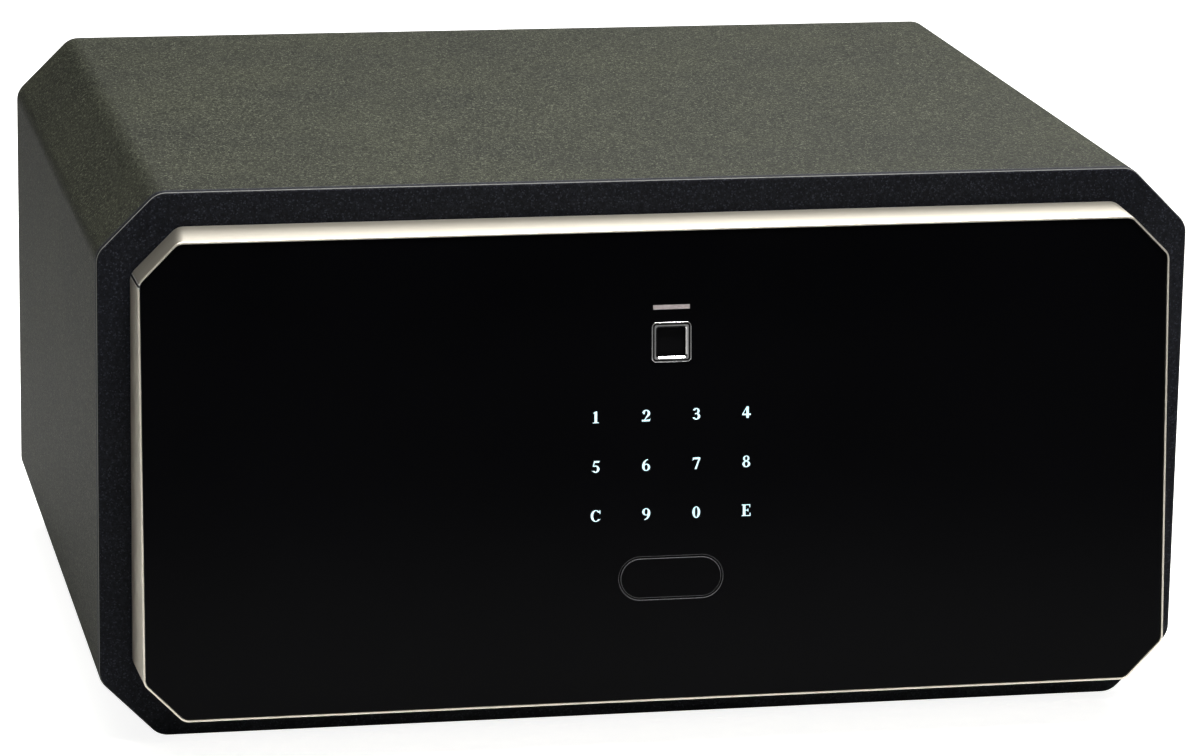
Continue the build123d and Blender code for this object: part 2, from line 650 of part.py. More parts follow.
def fingerprint_bezel():
    """Polished square frame: a ridge, a groove, and a bevel that leads down to the sensor."""
    front = GLASS_FACE + BEZEL_HEIGHT
    frame = panel_slab(rounded_square(BEZEL_SIZE - PRESS_GAP, BEZEL_CORNER), front, GLASS_BACK)
    outward = Axis((0, 0, 0), panel_face().z_dir)
    frame = fillet(frame.faces().sort_by(outward)[-1].outer_wire().edges(), BEZEL_EDGE)
    ridge, groove = BEZEL_SIZE - 2 * BEZEL_RIDGE, BEZEL_SIZE - 2 * (BEZEL_RIDGE + BEZEL_GROOVE)
    ring = rounded_square(ridge, BEZEL_CORNER - BEZEL_RIDGE) - rounded_square(groove, SENSOR_CORNER)
    frame -= panel_slab(ring, front + 1, front - BEZEL_GROOVE_DEPTH)
    wide = SENSOR_SIZE + 2 * SENSOR_SLOPE
    funnel = loft([panel_face(front - SENSOR_SLOPE) * rounded_square(SENSOR_SIZE, SENSOR_CORNER),
                   panel_face(front) * rounded_square(wide, SENSOR_CORNER + SENSOR_SLOPE)])
    opening = panel_slab(rounded_square(SENSOR_SIZE, SENSOR_CORNER), 0, -3 * GLASS_THICKNESS)
    return frame - funnel - opening


def fingerprint_pad():
    outline = rounded_square(SENSOR_SIZE - PRESS_GAP, SENSOR_CORNER)
    return panel_slab(outline, GLASS_FACE - SENSOR_RECESS, GLASS_BACK)


def fingerprint_module():
    """Sensor electronics behind the pad."""
    place = on_panel(PANEL_X, SENSOR_LEVEL)
    board_back = GLASS_BACK - CIRCUIT_BOARD
    board = panel_slab(place * Rectangle(12, 12), GLASS_BACK, board_back)
    return board + panel_slab(place * Rectangle(8, 4), board_back, board_back - 2.4)


def keypad_board():
    """Touch key circuit board behind the carrier, with its chips."""
    place = on_panel(PANEL_X, KEY_LEVELS[1])
    front = GLASS_BACK - CARRIER_FRONT
    back = front - CIRCUIT_BOARD
    board = panel_slab(place * RectangleRounded(*KEYPAD_BOARD_SIZE, 2), front, back)
    chips = Sketch() + [place * Pos(x, y) * Rectangle(8, 5) for x, y in KEYPAD_CHIPS]
    return board + panel_slab(chips, back, back - 1.4)


# ---------------------------------------------------------------- keypad characters
# Bold characters with serifs, drawn in cell units: x from the middle, y from the baseline.
def bar(x0, x1, y0, y1):
    middle = Pos((x0 + x1) / 2 * GLYPH_WIDTH, (y0 + y1) / 2 * GLYPH_HEIGHT)
    return middle * Rectangle((x1 - x0) * GLYPH_WIDTH, (y1 - y0) * GLYPH_HEIGHT)


def oval(half_width, half_height):
    return Ellipse(half_width * GLYPH_WIDTH, half_height * GLYPH_HEIGHT)


def bowl(x, y, half_width, half_height, thick, thin):
    """Closed round stroke, heavy at its sides and light at its top and bottom."""
    stroke = oval(half_width, half_height) - oval(half_width - thick, half_height - thin)
    return Pos(x * GLYPH_WIDTH, y * GLYPH_HEIGHT) * stroke


def patch(*points):
    return make_face(Polyline(*[(x * GLYPH_WIDTH, y * GLYPH_HEIGHT) for x, y in points], close=True))


def draw_1():
    flag = patch((-0.19, 0.86), (0.02, 1.0), (0.09, 1.0), (0.09, 0.82), (-0.06, 0.82))
    return bar(-0.09, 0.09, 0.02, 0.96) + bar(-0.21, 0.21, 0, 0.06) + flag


def draw_2():
    top = bowl(0, 0.70, 0.27, 0.30, 0.17, 0.09) - bar(-0.4, 0.4, 0.2, 0.62) - bar(-0.4, -0.2, 0.5, 0.72)
    slant = patch((0.10, 0.62), (0.27, 0.62), (0.22, 0.50), (-0.12, 0.12), (-0.30, 0.0), (-0.14, 0.14))
    return top + slant + bar(-0.30, 0.24, 0, 0.16) + patch((0.14, 0.1), (0.30, 0.24), (0.24, 0))


def draw_3():
    upper = bowl(-0.01, 0.75, 0.23, 0.25, 0.15, 0.08) - bar(-0.4, -0.05, 0.5, 0.80)
    lower = bowl(-0.01, 0.29, 0.27, 0.29, 0.17, 0.09) - bar(-0.4, -0.08, 0.20, 0.62)
    return upper + lower + bar(-0.10, 0.06, 0.49, 0.57)


def draw_4():
    outline = patch((0.16, 1.0), (0.02, 1.0), (-0.29, 0.36), (-0.29, 0.24), (0.30, 0.24),
                    (0.30, 0.38), (0.16, 0.38))
    hole = patch((-0.01, 0.80), (-0.01, 0.38), (-0.22, 0.38))
    return outline - hole + bar(-0.01, 0.16, 0, 0.30)


def draw_5():
    lower = bowl(-0.02, 0.31, 0.27, 0.31, 0.17, 0.09) - bar(-0.4, -0.08, 0.16, 0.52)
    head = patch((-0.12, 1.0), (0.27, 1.0), (0.22, 0.85), (-0.12, 0.85))
    return lower + head + patch((-0.12, 1.0), (-0.06, 0.92), (-0.13, 0.58), (-0.22, 0.54))


def draw_6():
    tail = bowl(0.13, 0.42, 0.41, 0.58, 0.17, 0.07) - bar(0.12, 0.8, -0.5, 1.2) - bar(-0.4, 0.4, -0.3, 0.3)
    return bowl(0, 0.31, 0.27, 0.31, 0.16, 0.07) + tail


def draw_7():
    slant = patch((0.27, 1.0), (0.27, 0.92), (0.02, 0.0), (-0.12, 0.0), (0.15, 0.86))
    return bar(-0.22, 0.27, 0.84, 1.0) + slant + patch((-0.27, 0.74), (-0.22, 1.0), (-0.12, 0.86))


def draw_8():
    return bowl(0, 0.76, 0.22, 0.24, 0.13, 0.07) + bowl(0, 0.28, 0.27, 0.28, 0.16, 0.08)


def draw_9():
    return Pos(0, GLYPH_HEIGHT) * Rot(0, 0, 180) * draw_6()


def draw_0():
    return bowl(0, 0.5, 0.27, 0.5, 0.17, 0.07)


def draw_c():
    stroke = bowl(0, 0.5, 0.36, 0.5, 0.18, 0.07) - bar(0.10, 0.5, 0.22, 0.78)
    return stroke + bar(0.25, 0.31, 0.66, 0.98) + patch((0.10, 0.1), (0.36, 0.22), (0.3, 0.2))


def draw_e():
    arms = bar(-0.30, 0.28, 0.93, 1.0) + bar(-0.30, 0.28, 0, 0.07) + bar(-0.12, 0.14, 0.47, 0.54)
    ends = bar(0.23, 0.29, 0.74, 1.0) + bar(0.25, 0.31, 0, 0.27) + bar(0.11, 0.16, 0.38, 0.63)
    return arms + ends + bar(-0.22, -0.04, 0, 1.0)


GLYPHS = {"1": draw_1, "2": draw_2, "3": draw_3, "4": draw_4, "5": draw_5, "6": draw_6,
          "7": draw_7, "8": draw_8, "9": draw_9, "0": draw_0, "C": draw_c, "E": draw_e}


def keypad_legends():
    """Lit key characters on the glass."""
    letters = []
    for level, row in zip(KEY_LEVELS, LEGENDS):
        for column, name in enumerate(row):
            x = PANEL_X + (column - 1.5) * KEY_PITCH
            place = on_panel(x, level) * Pos(0, -GLYPH_HEIGHT / 2)
            letters += panel_slab(place * GLYPHS[name](), GLASS_FACE + LEGEND_HEIGHT, GLASS_FACE).solids()
    return Compound(letters)


# ---------------------------------------------------------------- key lock parts
def key_cover():
    """Loose oblong cap over the emergency keyhole and power socket."""
    size = (PILL_SIZE[0] - 2 * CAP_GAP, PILL_SIZE[1] - 2 * CAP_GAP)
    place = on_panel(PANEL_X, PILL_LEVEL)
    cap = panel_slab(place * pill(size), GLASS_FACE, GLASS_FACE - CAP_THICKNESS)
    return cap - bevelled_rim((size[0] - 2 * GROUND_EDGE, size[1] - 2 * GROUND_EDGE), -1)


def key_well():
    """Recessed cup behind the oblong opening."""
    rim = 2 * WELL_RIM
    place = Pos(PANEL_X, PILL_LEVEL)
    front, back = WELL_DEPTHS
    cup = slab(place * pill((PILL_SIZE[0] + rim, PILL_SIZE[1] + rim)), -NOSE_REACH, back)
    cup -= slab(place * pill((PILL_SIZE[0] - 0.4, PILL_SIZE[1] - 0.4)), -NOSE_REACH, front)
    cup &= behind_panel(GLASS_BACK)
    through = (front - STEEL, back + STEEL)
    cup -= rod_y(LOCK_X, through, PILL_LEVEL, LOCK_RADIUS)
    return cup - port_block(0, through)


def port_block(wall, depths):
    """Block of the power socket's section, `wall` smaller all round."""
    half_width, half_height = PORT_SIZE[0] / 2 - wall, PORT_SIZE[1] / 2 - wall
    x = PANEL_X + PORT_OFFSET
    levels = (PILL_LEVEL - half_height, PILL_LEVEL + half_height)
    return block((x - half_width, x + half_width), depths, levels)


def power_port():
    """Emergency power socket: metal sleeve with a contact tongue."""
    front, back = PORT_DEPTHS
    sleeve = port_block(0, PORT_DEPTHS) - port_block(PORT_WALL, (front - 1, back - 3))
    x, half = PANEL_X + PORT_OFFSET, PORT_SIZE[0] / 2 - 3 * PORT_WALL
    return sleeve + block((x - half, x + half), (front + 1, back - 2), (PILL_LEVEL - 0.9, PILL_LEVEL - 0.2))


def lock_cylinder():
    """Body of the key lock, through the door plate."""
    front, back = LOCK_DEPTHS
    body = rod_y(LOCK_X, LOCK_DEPTHS, PILL_LEVEL, LOCK_RADIUS)
    return body - rod_y(LOCK_X, (front - 1, back + 1), PILL_LEVEL, PLUG_RADIUS + RUNNING_FIT)


def key_plug():
    """Turning plug with its keyway."""
    front = LOCK_DEPTHS[0] - 0.3
    plug = rod_y(LOCK_X, (front, PLUG_BACK), PILL_LEVEL, PLUG_RADIUS)
    half_width, half_height = KEYWAY[0] / 2, KEYWAY[1] / 2
    depths = (front - 1, front + 10.8)
    keyway = block((LOCK_X - half_width, LOCK_X + half_width), depths,
                   (PILL_LEVEL - half_height, PILL_LEVEL + half_height))
    ward = block((LOCK_X - 2 * half_width, LOCK_X), depths, (PILL_LEVEL - 0.9, PILL_LEVEL + 0.1))
    return plug - keyway - ward


def key_sector():
    """Toothed sector on the plug; it drives the lower rack of the carriage."""
    step = math.degrees(math.pi * MODULE / SECTOR_RADIUS)
    outline = gear_outline(SECTOR_RADIUS, SECTOR_TEETH, 90.0 + 2 * step)
    return slab(Pos(LOCK_X, PILL_LEVEL) * outline, PLUG_BACK, PLUG_BACK + SECTOR_THICKNESS)


# ---------------------------------------------------------------- bolt work parts
def bolt_carriage():
    """Sliding plate with two racks and the bolt lugs."""
    back = CARRIAGE_SET_BACK + CARRIAGE_THICKNESS
    depths = (CARRIAGE_SET_BACK, back)
    plate = block(CARRIAGE_X, depths, (BOLT_LEVELS[0] - CARRIAGE_MARGIN, BOLT_LEVELS[1] + CARRIAGE_MARGIN))
    plate -= block(CARRIAGE_WINDOW[0], (CARRIAGE_SET_BACK - 1, back + 1), CARRIAGE_WINDOW[1])
    arm_bottom = PILL_LEVEL + SECTOR_RADIUS + 1.2 * MODULE
    plate += block((ARM_START, CARRIAGE_X[0] + 2), depths, (arm_bottom, arm_bottom + ARM_BAND))
    lower = rack_outline(LOCK_X - BOLT_THROW - 2 * TOOTH_PITCH, LOCK_X + 5, LOCK_X)
    plate += slab(Pos(0, arm_bottom) * mirror(lower, about=Plane.XZ), *depths)
    upper = rack_outline(PINION_X - BOLT_THROW - 5, PINION_X + 5, PINION_X)
    band = (PINION_LEVEL - GEAR_WIDTH / 2, PINION_LEVEL + GEAR_WIDTH / 2)
    foot = back + 0.4 * MODULE
    plate += block((CARRIAGE_X[0] + 2, CARRIAGE_WINDOW[0][1]), (back, foot), band)
    plate += Pos(0, 0, band[0]) * extrude(Pos(0, RING_Y + foot) * upper, GEAR_WIDTH)
    for level in BOLT_LEVELS:
        plate += block(LUG_X, (back, BOLT_SET_BACK + LUG_HALF - 0.5), (level - LUG_HALF, level + LUG_HALF))
        plate -= rod_x((CARRIAGE_X[0], BOLT_TIP_X), BOLT_SET_BACK, level, BOLT_RADIUS)
    return plate


def locking_bolts():
    """Two round steel bolts fixed in the carriage lugs."""
    bolts = []
    for level in BOLT_LEVELS:
        bolt = rod_x((LUG_X[0], BOLT_TIP_X), BOLT_SET_BACK, level, BOLT_RADIUS)
        tip = bolt.edges().filter_by(GeomType.CIRCLE).sort_by(Axis.X)[-1]
        bolts.append(chamfer(tip, BOLT_TIP))
    return Compound(bolts)


def bolt_guides():
    """Guide blocks on the door plate, one for each bolt."""
    guides = []
    depths = (PLATE_BACK, BOLT_SET_BACK + GUIDE_HALF - 1)
    for level in BOLT_LEVELS:
        guide = block(GUIDE_X, depths, (level - GUIDE_HALF, level + GUIDE_HALF))
        guide = fillet(guide.edges().filter_by(Axis.X).group_by(Axis.Y)[-1], GUIDE_EDGE)
        bore = rod_x((GUIDE_X[0] - 1, GUIDE_X[1] + 1), BOLT_SET_BACK, level, BOLT_RADIUS + RUNNING_FIT)
        guides.append(guide - bore)
    return Compound(guides)


def gearbox_levels():
    """Height of the gearbox's bottom and top, under the pinion."""
    top = PINION_LEVEL - GEAR_WIDTH / 2 - 1.5
    return top - GEARBOX_SIZE[2], top


def gear_motor():
    """Small gear motor: round motor, square gearbox and shaft."""
    bottom, top = gearbox_levels()
    half_width, half_depth = GEARBOX_SIZE[0] / 2, GEARBOX_SIZE[1] / 2
    motor = rod_z(PINION_X, PINION_SET_BACK, (bottom - MOTOR_LENGTH, bottom), MOTOR_RADIUS)
    gearbox = block((PINION_X - half_width, PINION_X + half_width),
                    (PINION_SET_BACK - half_depth, PINION_SET_BACK + half_depth), (bottom, top))
    shaft = rod_z(PINION_X, PINION_SET_BACK, (top, PINION_LEVEL + GEAR_WIDTH / 2 + 1), SHAFT_RADIUS)
    return motor + gearbox + shaft


def motor_bracket():
    """Post and strap that hold the gearbox off the door plate."""
    bottom, top = gearbox_levels()
    half_width, half_depth = GEARBOX_SIZE[0] / 2, GEARBOX_SIZE[1] / 2
    post = block(POST_X, (PLATE_BACK, PINION_SET_BACK + half_depth), (bottom + 0.5, top - 0.5))
    strap = block((POST_X[1], PINION_X - half_width),
                  (PINION_SET_BACK - half_depth + 1, PINION_SET_BACK + half_depth - 1),
                  (bottom + 1.5, top - 1.5))
    return post + strap


def motor_pinion():
    outline = gear_outline(PINION_RADIUS, PINION_TEETH, -90.0 + 180.0 / PINION_TEETH)
    outline -= Circle(PINION_BORE)
    place = Pos(PINION_X, RING_Y + PINION_SET_BACK, PINION_LEVEL - GEAR_WIDTH / 2)
    return place * extrude(outline, GEAR_WIDTH)


# ---------------------------------------------------------------- inner cover parts
def cover_screw_places():
    columns = (COVER_LEFT + BOSS_INSET, COVER_BOSS_X, COVER_RIGHT - BOSS_INSET)
    return [(x, z) for x in columns for z in (COVER_BOTTOM + BOSS_INSET, COVER_TOP - BOSS_INSET)]


def battery_opening():
    """Limits of the battery hatch: x range and z range."""
    half, reach = CELL_PITCH * CELL_COUNT / 2 + 1, HATCH_HEIGHT / 2
    return (BATTERY_X - half, BATTERY_X + half), (BATTERY_LEVEL - reach, BATTERY_LEVEL + reach)


def inner_cover():
    """Moulded cover over the bolt work, seen from inside the safe."""
    width, height = COVER_RIGHT - COVER_LEFT, COVER_TOP - COVER_BOTTOM
    place = Pos((COVER_LEFT + COVER_RIGHT) / 2, (COVER_BOTTOM + COVER_TOP) / 2)
    shrink = 2 * COVER_WALL
    past = COVER_BACK + COVER_WALL
    cover = slab(place * octagon(width, height, COVER_LEG, COVER_BEND), PLATE_BACK, COVER_BACK)
    cover = fillet(cover.faces().sort_by(Axis.Y)[-1].outer_wire().edges(), COVER_EDGE)
    inside = octagon(width - shrink, height - shrink, COVER_LEG - 1, COVER_BEND - 1)
    cover -= slab(place * inside, PLATE_BACK - 1, COVER_BACK - COVER_WALL)
    for x, z in cover_screw_places():
        cover += rod_y(x, (PLATE_BACK, COVER_BACK - 1), z, BOSS_RADIUS)
        cover -= rod_y(x, (COVER_BACK - 20, past), z, COVER_SCREW_SHANK)
    for level in BOLT_LEVELS:
        cover -= rod_x((COVER_RIGHT - 5, COVER_RIGHT + 2), BOLT_SET_BACK, level, BOLT_RADIUS + 0.5)
    for level in HINGE_LEVELS:
        half = ARM_HEIGHT / 2 + EAR_GAP
        cover -= block((COVER_LEFT - 1, COVER_LEFT + 4), (PLATE_BACK - 1, ARM_THICKNESS + 0.5),
                       (level - half, level + half))
    x_range, z_range = battery_opening()
    cover -= block(x_range, (COVER_BACK - 2 * COVER_WALL, past), z_range)
    return cover - rod_y(RESET_X, (COVER_BACK - 2 * COVER_WALL, past), RESET_LEVEL, RESET_RADIUS + 0.3)


def cover_screws():
    screws = []
    for x, z in cover_screw_places():
        place = Pos(x, RING_Y + COVER_BACK, z) * Rot(-90, 0, 0)
        screws.append(place * screw(COVER_SCREW_SHANK, COVER_SCREW_LENGTH))
    return Compound(screws)


def battery_box():
    """Tray that holds the cells, behind the hatch."""
    half, reach = CELL_PITCH * CELL_COUNT / 2 + 0.8, HATCH_HEIGHT / 2 + 1
    front = CELL_SET_BACK - CELL_RADIUS - 1.6
    tray = block((BATTERY_X - half, BATTERY_X + half), (front, COVER_BACK - 4.5),
                 (BATTERY_LEVEL - reach, BATTERY_LEVEL + reach))
    half, reach = half - TRAY_SIDE, reach - TRAY_END
    return tray - block((BATTERY_X - half, BATTERY_X + half), (front + 1.2, COVER_BACK),
                        (BATTERY_LEVEL - reach, BATTERY_LEVEL + reach))


def cell_columns():
    return [BATTERY_X + (index - (CELL_COUNT - 1) / 2) * CELL_SPACING for index in range(CELL_COUNT)]


def batteries():
    """Four round cells, alternately head up and head down."""
    cells = []
    half = CELL_CAN / 2
    for index, x in enumerate(cell_columns()):
        up = 1 if index % 2 == 0 else -1
        can = rod_z(x, CELL_SET_BACK, (BATTERY_LEVEL - half, BATTERY_LEVEL + half), CELL_RADIUS)
        can = fillet(can.edges().filter_by(GeomType.CIRCLE), CELL_EDGE)
        tip = sorted((BATTERY_LEVEL + up * half, BATTERY_LEVEL + up * (CELL_LENGTH / 2 + 0.4)))
        cells.append(can + rod_z(x, CELL_SET_BACK, tip, CELL_BUTTON))
    return Compound(cells)


def battery_contacts():
    """Flat contact plates at both ends of the cells."""
    contacts = []
    depths = (CELL_SET_BACK - CONTACT_HALF, CELL_SET_BACK + CONTACT_HALF)
    inner = CELL_LENGTH / 2 + 0.9
    for x in cell_columns():
        for side in (-1, 1):
            z_range = sorted((BATTERY_LEVEL + side * inner,
                              BATTERY_LEVEL + side * (inner + CONTACT_THICKNESS)))
            contacts.append(block((x - CONTACT_HALF, x + CONTACT_HALF), depths, z_range))
    return Compound(contacts)


def battery_cover():
    """Hatch over the cells, with finger grooves; it pulls off to the rear."""
    (x0, x1), (z0, z1) = battery_opening()
    lid = block((x0 + HATCH_GAP, x1 - HATCH_GAP), (COVER_BACK - COVER_WALL, COVER_BACK),
                (z0 + HATCH_GAP, z1 - HATCH_GAP))
    for index in range(GRIP_COUNT):
        z = z1 - GRIP_HALF - GRIP_PITCH * index
        lid -= block((BATTERY_X - GRIP_HALF, BATTERY_X + GRIP_HALF), (COVER_BACK - 0.6, COVER_BACK + 1),
                     (z - GRIP_PITCH / 4, z + GRIP_PITCH / 4))
    return lid


def control_board():
    """Main circuit board on its spacers."""
    board = block(BOARD_X, BOARD_DEPTHS, BOARD_LEVELS)
    for x in (BOARD_X[0] + BOARD_INSET, BOARD_X[1] - BOARD_INSET):
        for z in (BOARD_LEVELS[0] + BOARD_INSET, BOARD_LEVELS[1] - BOARD_INSET):
            board += rod_y(x, (PLATE_BACK, BOARD_DEPTHS[0]), z, SPACER_RADIUS)
    return board


def board_parts():
    """Components on the main board: processor, relay, terminal, buzzer, capacitors, reset switch."""
    top = BOARD_DEPTHS[1]
    processor = block((-10, 2), (top, top + 1.6), (96, 108))
    relay = block((-48, -34), (top, top + 9.4), (92, 104))
    terminal = block((14, 34), (top, top + 5.4), (130, 138))
    buzzer = rod_y(-46, (top, top + 9.4), 134, 6)
    capacitors = [rod_y(26, (top, top + 11.4), level, 4) for level in (96, 108)]
    half = RESET_RADIUS
    switch = block((RESET_X - half, RESET_X + half), (top, 21), (RESET_LEVEL - half, RESET_LEVEL + half))
    return Compound([processor, relay, terminal, buzzer, *capacitors, switch])


def reset_button():
    """Code-reset push button through the cover."""
    stem = rod_y(RESET_X, (RESET_BACK, COVER_BACK + RESET_STAND), RESET_LEVEL, RESET_RADIUS)
    stem = fillet(stem.edges().filter_by(GeomType.CIRCLE).sort_by(Axis.Y)[-1], RESET_STAND / 2)
    flange = (RESET_BACK, RESET_BACK + RESET_FLANGE_DEPTH)
    return stem + rod_y(RESET_X, flange, RESET_LEVEL, RESET_RADIUS + RESET_FLANGE)


# ---------------------------------------------------------------- write the files
PARTS = {
    "outer_shell": outer_shell, "front_ring": front_ring, "back_plate": back_plate,
    "rubber_feet": rubber_feet, "floor_liner": floor_liner,
    "right_liner": lambda: side_liner(1), "left_liner": lambda: side_liner(-1),
    "ceiling_liner": ceiling_liner, "rear_liner": rear_liner, "interior_light": interior_light,
    "bolt_keeper": bolt_keeper, "hinge_brackets": hinge_brackets, "hinge_pins": hinge_pins,
    "bracket_screws": bracket_screws, "hinge_arms": hinge_arms, "arm_screws": arm_screws,
    "door_plate": door_plate, "trim_frame": trim_frame, "glass_panel": glass_panel,
    "panel_carrier": panel_carrier, "indicator_bar": indicator_bar,
    "fingerprint_bezel": fingerprint_bezel, "fingerprint_pad": fingerprint_pad,
    "fingerprint_module": fingerprint_module, "keypad_board": keypad_board,
    "keypad_legends": keypad_legends, "key_cover": key_cover, "key_well": key_well,
    "power_port": power_port, "lock_cylinder": lock_cylinder, "key_plug": key_plug,
    "key_sector": key_sector, "bolt_carriage": bolt_carriage, "locking_bolts": locking_bolts,
    "bolt_guides": bolt_guides, "gear_motor": gear_motor, "motor_bracket": motor_bracket,
    "motor_pinion": motor_pinion, "inner_cover": inner_cover, "cover_screws": cover_screws,
    "battery_box": battery_box, "batteries": batteries, "battery_contacts": battery_contacts,
    "battery_cover": battery_cover, "control_board": control_board, "board_parts": board_parts,
    "reset_button": reset_button,
}

os.makedirs("parts", exist_ok=True)
for name, make in PARTS.items():
    export_step(make(), f"parts/{name}.step")
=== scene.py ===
import json
import math

import bmesh
import bpy
from mathutils import Matrix, Vector, noise


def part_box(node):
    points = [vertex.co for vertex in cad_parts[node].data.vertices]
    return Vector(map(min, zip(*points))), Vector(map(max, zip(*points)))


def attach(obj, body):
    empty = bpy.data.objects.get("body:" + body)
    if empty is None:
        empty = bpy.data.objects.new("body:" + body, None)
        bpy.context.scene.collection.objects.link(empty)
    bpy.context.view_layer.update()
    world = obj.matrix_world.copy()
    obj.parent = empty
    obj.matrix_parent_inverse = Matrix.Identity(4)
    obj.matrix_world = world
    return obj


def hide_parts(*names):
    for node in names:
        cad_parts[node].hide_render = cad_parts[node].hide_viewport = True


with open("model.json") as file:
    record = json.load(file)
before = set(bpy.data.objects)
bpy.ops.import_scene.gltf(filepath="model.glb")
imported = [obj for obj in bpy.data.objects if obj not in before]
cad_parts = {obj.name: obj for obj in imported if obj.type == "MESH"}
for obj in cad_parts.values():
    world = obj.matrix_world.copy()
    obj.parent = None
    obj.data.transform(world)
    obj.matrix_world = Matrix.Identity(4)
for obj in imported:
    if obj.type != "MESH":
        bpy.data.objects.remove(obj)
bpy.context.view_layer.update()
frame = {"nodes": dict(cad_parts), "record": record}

MM = 0.001
PANEL_NORMAL = (0.0, -0.99655, 0.08305)     # the door's inclined face
BEZEL_FRONT = 0.144392                      # where the bezel's front lies along that normal
SEAM_NORMAL = (0.38268, 0.0, 0.92388)       # across the butt joint at the upper left corner
SEAM_PLACE = (-0.160, 0.1482)               # x and z of a point on that joint
SEAM_OFFSET = SEAM_PLACE[0] * SEAM_NORMAL[0] + SEAM_PLACE[1] * SEAM_NORMAL[2]
scene = bpy.context.scene


# ---------------------------------------------------------------- camera
# Long lens from the front left, a little above the safe, with a slight roll.
CAMERA_AZIMUTH = math.radians(11.65)
CAMERA_ELEVATION = math.radians(14.03)
CAMERA_ROLL = math.radians(-0.945)
CAMERA_PLACE = Vector((-0.3247, -1.6147, 0.4933))
CAMERA_LENS = 154.5


def make_camera():
    data = bpy.data.cameras.new("camera")
    data.sensor_width = 36.0
    data.lens = CAMERA_LENS
    data.clip_start, data.clip_end = 0.05, 50.0
    camera = bpy.data.objects.new("camera", data)
    scene.collection.objects.link(camera)
    level = math.cos(CAMERA_ELEVATION)
    forward = Vector((math.sin(CAMERA_AZIMUTH) * level, math.cos(CAMERA_AZIMUTH) * level,
                      -math.sin(CAMERA_ELEVATION)))
    aim = forward.to_track_quat("-Z", "Y").to_matrix().to_4x4()
    roll = Matrix.Rotation(-CAMERA_ROLL, 4, "Z")
    camera.matrix_world = Matrix.Translation(CAMERA_PLACE) @ aim @ roll
    scene.camera = camera


make_camera()


# ---------------------------------------------------------------- material kit
COSINE_BLUR = 0.04          # cosine over which a mask by direction fades
EDGE_LEAN = (0.01, 0.12)    # 1 - cosine between rounded and true normal where an edge begins and is full
EDGE_SAMPLES = 4
FULL_FLAKES = 0.6           # share of the flakes that are fully bright


